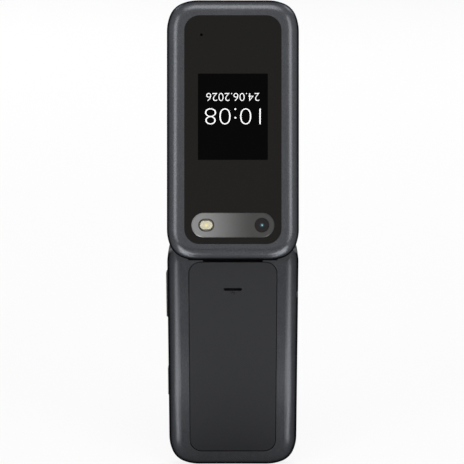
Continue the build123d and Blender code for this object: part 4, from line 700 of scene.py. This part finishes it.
# ---------------------------------------------------------------- flash
# The flash lies behind a pill of clear moulded plastic with fine rings on it, in a thin black
# gasket. The yellow phosphor of its lamp shows in the middle.
FLASH_X = 11.0
FLASH_PALE = (0.60, 0.57, 0.42)
FLASH_YELLOW = (0.78, 0.70, 0.32)
FLASH_ROUGHNESS = 0.2
PHOSPHOR_CORE = 0.25
PHOSPHOR_RADIUS = 0.9
RING_PITCH = 0.22
RING_DEPTH = 0.04
GASKET_BLACK = (0.006, 0.006, 0.006)
GASKET_ROUGHNESS = 0.5
GASKET_SPREAD = 0.1
GASKET_MOTTLE = 0.5
GASKET_WIDTH = 0.42
GASKET_PROUD = 0.03
STRAIGHT_HALF = 0.01

flash_centre = place("lid", FLASH_X, CAMERA_BAR_Q, face_level("lid", "flash_lens"))
flash_plastic = Finish("flash_plastic", FLASH_PALE, FLASH_ROUGHNESS)
from_lamp = flash_plastic.away(flash_centre)
flash_plastic.colours(from_lamp.between(PHOSPHOR_CORE, PHOSPHOR_RADIUS), FLASH_YELLOW, FLASH_PALE)
flash_plastic.relief(from_lamp.zigzag(RING_PITCH) * RING_DEPTH)
flash_plastic.on("flash_lens")


def flat_ring(name, sheet, outer, inner, thickness):
    """A flat closed ring: its section runs up the outer outline, over to the inner one and down."""
    section = [(outer, 0.0), (outer, thickness), (inner, thickness), (inner, 0.0), (outer, 0.0)]
    points = np.stack([sheet.at(line[:, 0], line[:, 1], level) for line, level in section])
    return closed(tube(name, points))


flash_low, flash_high = corners_of("flash_lens")
flash_width = (flash_high - flash_low)[0] / MM
flash_tall = (flash_high - flash_low)[2] / MM / np.cos(LEAN)
flash_round = flash_tall / 2 - STRAIGHT_HALF
bar_face = Sheet(place("lid", (flash_low + flash_high)[0] / 2 / MM, CAMERA_BAR_Q,
                       face_level("lid", "camera_plate")), ACROSS, -LID_UP)
gasket_black = Finish("gasket_black", GASKET_BLACK, GASKET_ROUGHNESS)
gasket_black.uneven(GASKET_SPREAD, gasket_black.noise(GASKET_MOTTLE))
gasket_outer = rounded(flash_width + 2 * GASKET_WIDTH, flash_tall + 2 * GASKET_WIDTH,
                       flash_round + GASKET_WIDTH)
gasket_inner = rounded(flash_width, flash_tall, flash_round)
fit("flash_gasket", flat_ring("gasket", bar_face, gasket_outer, gasket_inner, GASKET_PROUD),
    gasket_black, "lid")

# ---------------------------------------------------------------- main display
# The large display is lit through the inner window: a plain blue field that pales downwards, the
# time and the date, and small marks for signal, charge and the soft keys.
SCREEN_WIDTH = 43.6
SCREEN_HEIGHT = 58.0
SCREEN_CORNER = 0.4
SCREEN_Q = 52.6
SCREEN_OFF = (0.003, 0.004, 0.006)
SCREEN_ROUGHNESS = 0.08
SCREEN_GLOW = 0.55
SCREEN_DEEP = (0.006, 0.035, 0.10)
SCREEN_PALE = (0.06, 0.30, 0.42)
SCREEN_FADE = 34
WAVE_SIZE = 38.0
WAVE_STRETCH = (1.0, 1.0, 0.6)
WAVE_HEIGHT = 24
SCREEN_TIME_HEIGHT = 8.0
SCREEN_TIME_V = 12.0
SCREEN_DATE_HEIGHT = 2.9
SCREEN_DATE_V = 3.6
STATUS_V = SCREEN_HEIGHT / 2 - 2.6
STATUS_U = SCREEN_WIDTH / 2 - 3.2
SIGNAL_BARS = 4
SIGNAL_WIDTH = 0.6
SIGNAL_STEP = 0.7
SIGNAL_PITCH = 0.95
SIGNAL_CORNER = 0.1
CHARGE_U = STATUS_U - 1.4
CHARGE_V = STATUS_V + 1.4
CHARGE_CELL = (3.6, 2.0)
CHARGE_CAP = (0.4, 0.9)
CHARGE_CAP_U = CHARGE_U + 2.1
CHARGE_CORNER = 0.15
SOFT_MARK = (4.2, 0.6)
SOFT_CORNER = 0.25
SOFT_U = SCREEN_WIDTH / 2 - 5.0
SOFT_V = 3.0 - SCREEN_HEIGHT / 2

inner_sheet = Sheet(place("lid", 0.0, SCREEN_Q, face_level("lid", "inner_window", front=True)),
                    ACROSS, LID_UP)
screen = Finish("lit_screen", SCREEN_OFF, SCREEN_ROUGHNESS, emission_strength=SCREEN_GLOW)
height_on = screen.along(LID_UP, place("lid", 0.0, SCREEN_Q, 0.0))
wave = screen.noise(WAVE_SIZE, detail=1.0, stretch=WAVE_STRETCH)
pale = (height_on + WAVE_HEIGHT * (wave - 0.5)).between(SCREEN_FADE, -SCREEN_FADE)
screen.feed("Emission Color", screen.mix(pale, SCREEN_DEEP, SCREEN_PALE))
screen_outline = rounded(SCREEN_WIDTH, SCREEN_HEIGHT, SCREEN_CORNER)
fit("main_screen_field", plate("field", inner_sheet, screen_outline), screen, "lid")
mark_sheet = inner_sheet.moved(0.0, 0.0, PRINT_THICKNESS)
screen_marks = [
    print_text("time", TIME_TEXT, SCREEN_TIME_HEIGHT, mark_sheet.moved(0.0, SCREEN_TIME_V)),
    print_text("date", DATE_TEXT, SCREEN_DATE_HEIGHT, mark_sheet.moved(0.0, SCREEN_DATE_V))]
for step in range(SIGNAL_BARS):
    bar_height = SIGNAL_STEP * (step + 1)
    spot = mark_sheet.moved(-STATUS_U + SIGNAL_PITCH * step, STATUS_V + bar_height / 2)
    screen_marks.append(plate("signal", spot, rounded(SIGNAL_WIDTH, bar_height, SIGNAL_CORNER)))
for cell_size, u in ((CHARGE_CELL, CHARGE_U), (CHARGE_CAP, CHARGE_CAP_U)):
    spot = mark_sheet.moved(u, CHARGE_V)
    screen_marks.append(plate("charge", spot, rounded(*cell_size, CHARGE_CORNER)))
for side in (-1, 1):
    spot = mark_sheet.moved(side * SOFT_U, SOFT_V)
    screen_marks.append(plate("soft", spot, rounded(*SOFT_MARK, SOFT_CORNER)))
fit("main_screen_marks", join("marks", screen_marks), lit_white, "lid")

# ---------------------------------------------------------------- display modules
# Behind the windows lie the two display modules. Each is dark glass in a stamped frame, and little
# of it shows past the windows' print.
MODULE_DARK = (0.012, 0.013, 0.016)
MODULE_ROUGHNESS = 0.13
MODULE_SPREAD = 0.06
MODULE_RIPPLE = 6.0

module_glass = Finish("module_glass", MODULE_DARK, MODULE_ROUGHNESS)
module_glass.uneven(MODULE_SPREAD, module_glass.noise(MODULE_RIPPLE))
module_glass.on("main_display", "cover_display")

# ---------------------------------------------------------------- keys
# The keys are moulded one by one in satin black with slightly crowned tops. Their figures are
# printed in white, the call keys' marks in green and red.
KEY_COLOUR = (0.018, 0.0182, 0.0198)
KEY_PALE = (0.023, 0.0234, 0.0252)
KEY_ROUGHNESS = 0.36
KEY_SPREAD = 0.08
KEY_MOTTLE = 1.5
KEY_PEBBLE = 0.18
KEY_PEBBLE_DEPTH = 0.004
KEYS = ["key_" + mark for mark in ("1", "2", "3", "4", "5", "6", "7", "8", "9", "star", "0", "hash")]
LEGENDS = dict(zip(KEYS, "123456789*0#"))
LEGEND_WHITE = (0.72, 0.73, 0.74)
LEGEND_ROUGHNESS = 0.45
LEGEND_HEIGHT = 4.4
STAR_HEIGHT = 2.6
INK_SPREAD = 0.1
INK_MOTTLE = 0.4
CALL_GREEN = (0.03, 0.42, 0.08)
END_RED = (0.62, 0.03, 0.025)
MARK_ROUGHNESS = 0.43
HANDSET_RADIUS = 3.3
HANDSET_ENDS = (30, 150)
HANDSET_GRIP = 0.85
HANDSET_EAR = 1.05
HANDSET_EAR_START = 0.72
HANDSET_EAR_BLEND = 0.04
HANDSET_STEPS = 25
CALL_TURN = 135
END_TURN = 0
DASH = (4.0, 0.55)
DASH_CORNER = 0.25
ARROW_RADIUS = 0.75

satin_key = Finish("satin_key", KEY_COLOUR, KEY_ROUGHNESS)
key_mottle = satin_key.noise(KEY_MOTTLE, detail=3.0)
satin_key.colours(key_mottle, KEY_COLOUR, KEY_PALE)
satin_key.uneven(KEY_SPREAD, key_mottle)
satin_key.relief(KEY_PEBBLE_DEPTH * satin_key.noise(KEY_PEBBLE, detail=1.0))
satin_key.on(*KEYS, "key_call", "key_end", "key_soft_left", "key_soft_right", "key_ok", "nav_ring")


def key_sheet(node):
    """The middle of a key's face, seen from the keypad side."""
    low, high = corners_of(node)
    middle = (low + high) / 2
    return Sheet(np.array([middle[0], low[1], middle[2]]), ACROSS, BASE_UP)


legend_white = Finish("legend_white", LEGEND_WHITE, LEGEND_ROUGHNESS)
legend_white.uneven(INK_SPREAD, legend_white.noise(INK_MOTTLE))
for key, legend in LEGENDS.items():
    tall = STAR_HEIGHT if legend == "*" else LEGEND_HEIGHT
    figure = print_text(key, legend, tall, key_sheet(key))
    fit(key + "_legend", figure, legend_white, key)


def handset(name, sheet, turn):
    """A handset mark: a band inside the radius, from one end's angle to the other's. Its width is
    grip + ear / (1 + exp((start - s) / blend)), with s from 1 at an end to 0 in the middle."""
    angle = np.linspace(*np.radians(HANDSET_ENDS), HANDSET_STEPS)
    reach = np.abs(np.linspace(-1, 1, HANDSET_STEPS))
    ear = HANDSET_EAR / (1 + np.exp((HANDSET_EAR_START - reach) / HANDSET_EAR_BLEND))
    width = HANDSET_GRIP + ear
    inner = HANDSET_RADIUS - width
    outer = np.full_like(width, HANDSET_RADIUS)
    radius = np.concatenate([outer, inner[::-1]])
    turned = np.concatenate([angle, angle[::-1]]) + turn
    points = radius[:, None] * np.stack([np.cos(turned), np.sin(turned)], axis=-1)
    return plate(name, sheet, points - (points.max(axis=0) + points.min(axis=0)) / 2)


for key, colour, turn in (("key_call", CALL_GREEN, CALL_TURN), ("key_end", END_RED, END_TURN)):
    mark = Finish(key + "_print", colour, MARK_ROUGHNESS)
    mark.uneven(INK_SPREAD, mark.noise(INK_MOTTLE))
    fit(key + "_mark", handset("handset", key_sheet(key), np.radians(turn)), mark, key)
for key in ("key_soft_left", "key_soft_right"):
    dash = plate("dash", key_sheet(key), rounded(*DASH, DASH_CORNER))
    fit(key + "_mark", dash, legend_white, key)
nav_low, nav_high = corners_of("nav_ring")
nav_arm = ((nav_high[0] - nav_low[0]) / MM / 2 + corners_of("key_ok")[1][0] / MM) / 2
nav_marks = []
# An arrow's three corners lie evenly round a circle, the first of them outwards.
for turn in np.arange(4) * np.pi / 2:
    corner_turn = np.radians([0, 120, 240]) + turn
    arrow = ARROW_RADIUS * np.stack([np.cos(corner_turn), np.sin(corner_turn)], axis=-1)
    spot = key_sheet("nav_ring").moved(nav_arm * np.cos(turn), nav_arm * np.sin(turn))
    nav_marks.append(plate("arrow", spot, arrow))
fit("nav_ring_marks", join("arrows", nav_marks), legend_white, "nav_ring")

# ---------------------------------------------------------------- black mouldings
# The side keys and the housings of the small parts inside are black moulded plastic, as they come
# out of the tool.
BLACK = (0.009, 0.009, 0.0095)
BLACK_PALE = (0.013, 0.013, 0.0138)
BLACK_ROUGHNESS = 0.55
BLACK_SPECULAR = 0.25
BLACK_SPREAD = 0.1
BLACK_MOTTLE = 1.2
BLACK_PEBBLE = 0.2
BLACK_PEBBLE_DEPTH = 0.006

moulded_black = Finish("moulded_black", BLACK, BLACK_ROUGHNESS, specular=BLACK_SPECULAR)
black_mottle = moulded_black.noise(BLACK_MOTTLE, detail=3.0)
moulded_black.colours(black_mottle, BLACK, BLACK_PALE)
moulded_black.uneven(BLACK_SPREAD, black_mottle)
moulded_black.relief(BLACK_PEBBLE_DEPTH * moulded_black.noise(BLACK_PEBBLE, detail=1.0))
moulded_black.on("volume_key", "sos_key", "nav_pad", "audio_socket", "loudspeaker", "microphone",
                 "antenna", "battery_contacts", "camera_module", "earpiece")

# ---------------------------------------------------------------- steel parts
# Cans, card holders, the USB socket and the earpiece's mesh are stamped from bright steel with a
# fine rolled grain, and the hinge's spring is wound from it. Screws and turned parts are blackened.
STEEL = (0.56, 0.56, 0.55)
DULL_STEEL = (0.44, 0.44, 0.43)
STEEL_ROUGHNESS = 0.32
STEEL_SPREAD = 0.12
ROLLED_GRAIN = 0.4
ROLLED_STRETCH = (1.0, 1.0, 0.08)
ROLLED_DEPTH = 0.004
BLACK_STEEL = (0.06, 0.06, 0.062)
BLACK_STEEL_ROUGHNESS = 0.41
BLACK_STEEL_METALLIC = 0.9
BLACK_STEEL_SPREAD = 0.14
BLACK_STEEL_MOTTLE = 0.3

steel = Finish("rolled_steel", STEEL, STEEL_ROUGHNESS, 1.0)
rolled = steel.noise(ROLLED_GRAIN, rough=0.6, stretch=ROLLED_STRETCH)
steel.colours(rolled, DULL_STEEL, STEEL)
steel.uneven(STEEL_SPREAD, rolled)
steel.relief(ROLLED_DEPTH * rolled)
steel.on("shield_cans", "card_holders", "usb_socket", "vibration_motor", "hinge_spring",
         "earpiece_mesh")
black_steel = Finish("blackened_steel", BLACK_STEEL, BLACK_STEEL_ROUGHNESS, BLACK_STEEL_METALLIC)
black_steel.uneven(BLACK_STEEL_SPREAD, black_steel.noise(BLACK_STEEL_MOTTLE))
black_steel.on("base_screws", "lid_screws", "hinge_bush", "hinge_shaft", "hinge_cartridge")

# ---------------------------------------------------------------- boards, films and contacts
# Green boards with traces under the lacquer, amber flexible circuits, the clear film over the key
# domes, gold-plated contacts and grey silicone.
BOARD_GREEN = (0.006, 0.055, 0.022)
TRACE_GREEN = (0.02, 0.12, 0.045)
BOARD_ROUGHNESS = 0.3
TRACE_SHARE = 0.8
TRACE_ACROSS_PITCH = 1.1
TRACE_ACROSS_EDGES = (0.30, 0.34)
TRACE_ALONG_PITCH = 1.7
TRACE_ALONG_EDGES = (0.36, 0.39)
POUR_SIZE = 5.0
POUR_EDGES = (0.46, 0.5)
AMBER_DARK = (0.30, 0.11, 0.015)
AMBER_COPPER = (0.50, 0.22, 0.04)
AMBER_ROUGHNESS = 0.28
COPPER_PITCH = 0.8
COPPER_EDGES = (0.28, 0.33)
FILM = (0.55, 0.56, 0.57)
FILM_ROUGHNESS = 0.26
FILM_SPREAD = 0.12
FILM_RIPPLE = 3.0
GOLD = (0.78, 0.55, 0.20)
GOLD_ROUGHNESS = 0.25
GOLD_SPREAD = 0.1
GOLD_MOTTLE = 0.4
SILICONE = (0.035, 0.035, 0.037)
SILICONE_ROUGHNESS = 0.61
SILICONE_SPREAD = 0.12
SILICONE_MOTTLE = 0.6
SILICONE_PEBBLE = 0.3
SILICONE_PEBBLE_DEPTH = 0.01

board_green = Finish("lacquered_board", BOARD_GREEN, BOARD_ROUGHNESS)
trace_across = board_green.along(ACROSS).zigzag(TRACE_ACROSS_PITCH).between(*TRACE_ACROSS_EDGES)
trace_along = board_green.along(BASE_UP).zigzag(TRACE_ALONG_PITCH).between(*TRACE_ALONG_EDGES)
pour = board_green.noise(POUR_SIZE, detail=1.0).between(*POUR_EDGES)
board_green.colours((trace_across * pour | trace_along * (1 - pour)) * TRACE_SHARE,
                    BOARD_GREEN, TRACE_GREEN)
board_green.on("main_board", "lid_board")
amber = Finish("amber_flex", AMBER_DARK, AMBER_ROUGHNESS)
copper = amber.along(ACROSS).zigzag(COPPER_PITCH).between(*COPPER_EDGES)
amber.colours(copper, AMBER_DARK, AMBER_COPPER)
amber.on("side_key_flex", "hinge_flex")
film = Finish("dome_film", FILM, FILM_ROUGHNESS)
film.uneven(FILM_SPREAD, film.noise(FILM_RIPPLE))
film.on("dome_sheet")
gold = Finish("gold_plate", GOLD, GOLD_ROUGHNESS, 1.0)
gold.uneven(GOLD_SPREAD, gold.noise(GOLD_MOTTLE))
gold.on("charge_contacts")
rubber = Finish("grey_silicone", SILICONE, SILICONE_ROUGHNESS)
rubber.uneven(SILICONE_SPREAD, rubber.noise(SILICONE_MOTTLE))
rubber.relief(SILICONE_PEBBLE_DEPTH * rubber.noise(SILICONE_PEBBLE))
rubber.on("key_mat", "lid_bumpers")

# ---------------------------------------------------------------- battery
# The battery is a flat can in a dark printed wrap. A plain pale label lies on its back, with plus
# and minus marks at the contacts' end.
WRAP = (0.03, 0.031, 0.034)
WRAP_ROUGHNESS = 0.4
WRAP_SPREAD = 0.12
WRAP_MOTTLE = 5.0
WRAP_CREASE = 7.0
WRAP_CREASE_DEPTH = 0.03
LABEL_PALE = (0.36, 0.37, 0.38)
LABEL_RULE = (0.16, 0.165, 0.17)
LABEL_ROUGHNESS = 0.5
LABEL_INSET = 3.0
LABEL_CORNER = 1.5
LABEL_THICKNESS = 0.05
RULE_PITCH = 6.0
RULE_EDGE = 0.46
SIGN_BLACK = (0.02, 0.02, 0.021)
SIGN_ROUGHNESS = 0.5
SIGN_SPREAD = 0.1
SIGN_MOTTLE = 0.5
SIGN_SIZE = 3.4
SIGN_STROKE = 0.6
SIGN_U = 14.0

wrap = Finish("battery_wrap", WRAP, WRAP_ROUGHNESS)
wrap.uneven(WRAP_SPREAD, wrap.noise(WRAP_MOTTLE))
wrap.relief(WRAP_CREASE_DEPTH * wrap.noise(WRAP_CREASE))
wrap.on("battery")
battery_low, battery_high = corners_of("battery")
battery_sheet = Sheet(np.array([0.0, battery_high[1], (battery_low[2] + battery_high[2]) / 2]),
                      -ACROSS, BASE_UP)
label_width, label_height = (battery_high - battery_low)[[0, 2]] / MM - 2 * LABEL_INSET
label_paper = Finish("label_paper", LABEL_PALE, LABEL_ROUGHNESS)
between_rules = label_paper.along(BASE_UP, battery_sheet.centre).zigzag(RULE_PITCH) < RULE_EDGE
label_paper.colours(between_rules, LABEL_RULE, LABEL_PALE)
label_outline = rounded(label_width, label_height, LABEL_CORNER)
fit("battery_label", plate("label", battery_sheet, label_outline, LABEL_THICKNESS), label_paper,
    "battery")


def sign(plus):
    """The outline of a plus, as twelve corners round its arms, or of the minus bar."""
    arm, half = SIGN_SIZE / 2, SIGN_STROKE / 2
    if not plus:
        return np.array([(arm, -half), (arm, half), (-arm, half), (-arm, -half)])
    quarter = np.array([(arm, -half), (arm, half), (half, half)])
    turn = np.arange(4)[:, None] * np.pi / 2
    return np.stack([quarter[:, 0] * np.cos(turn) - quarter[:, 1] * np.sin(turn),
                     quarter[:, 0] * np.sin(turn) + quarter[:, 1] * np.cos(turn)],
                    axis=-1).reshape(-1, 2)


sign_ink = Finish("sign_ink", SIGN_BLACK, SIGN_ROUGHNESS)
sign_ink.uneven(SIGN_SPREAD, sign_ink.noise(SIGN_MOTTLE))
sign_sheet = battery_sheet.moved(0.0, label_height / 2 - SIGN_SIZE, LABEL_THICKNESS)
signs = [plate("sign", sign_sheet.moved(side * SIGN_U, 0.0), sign(side > 0)) for side in (-1, 1)]
fit("battery_signs", join("signs", signs), sign_ink, "battery")
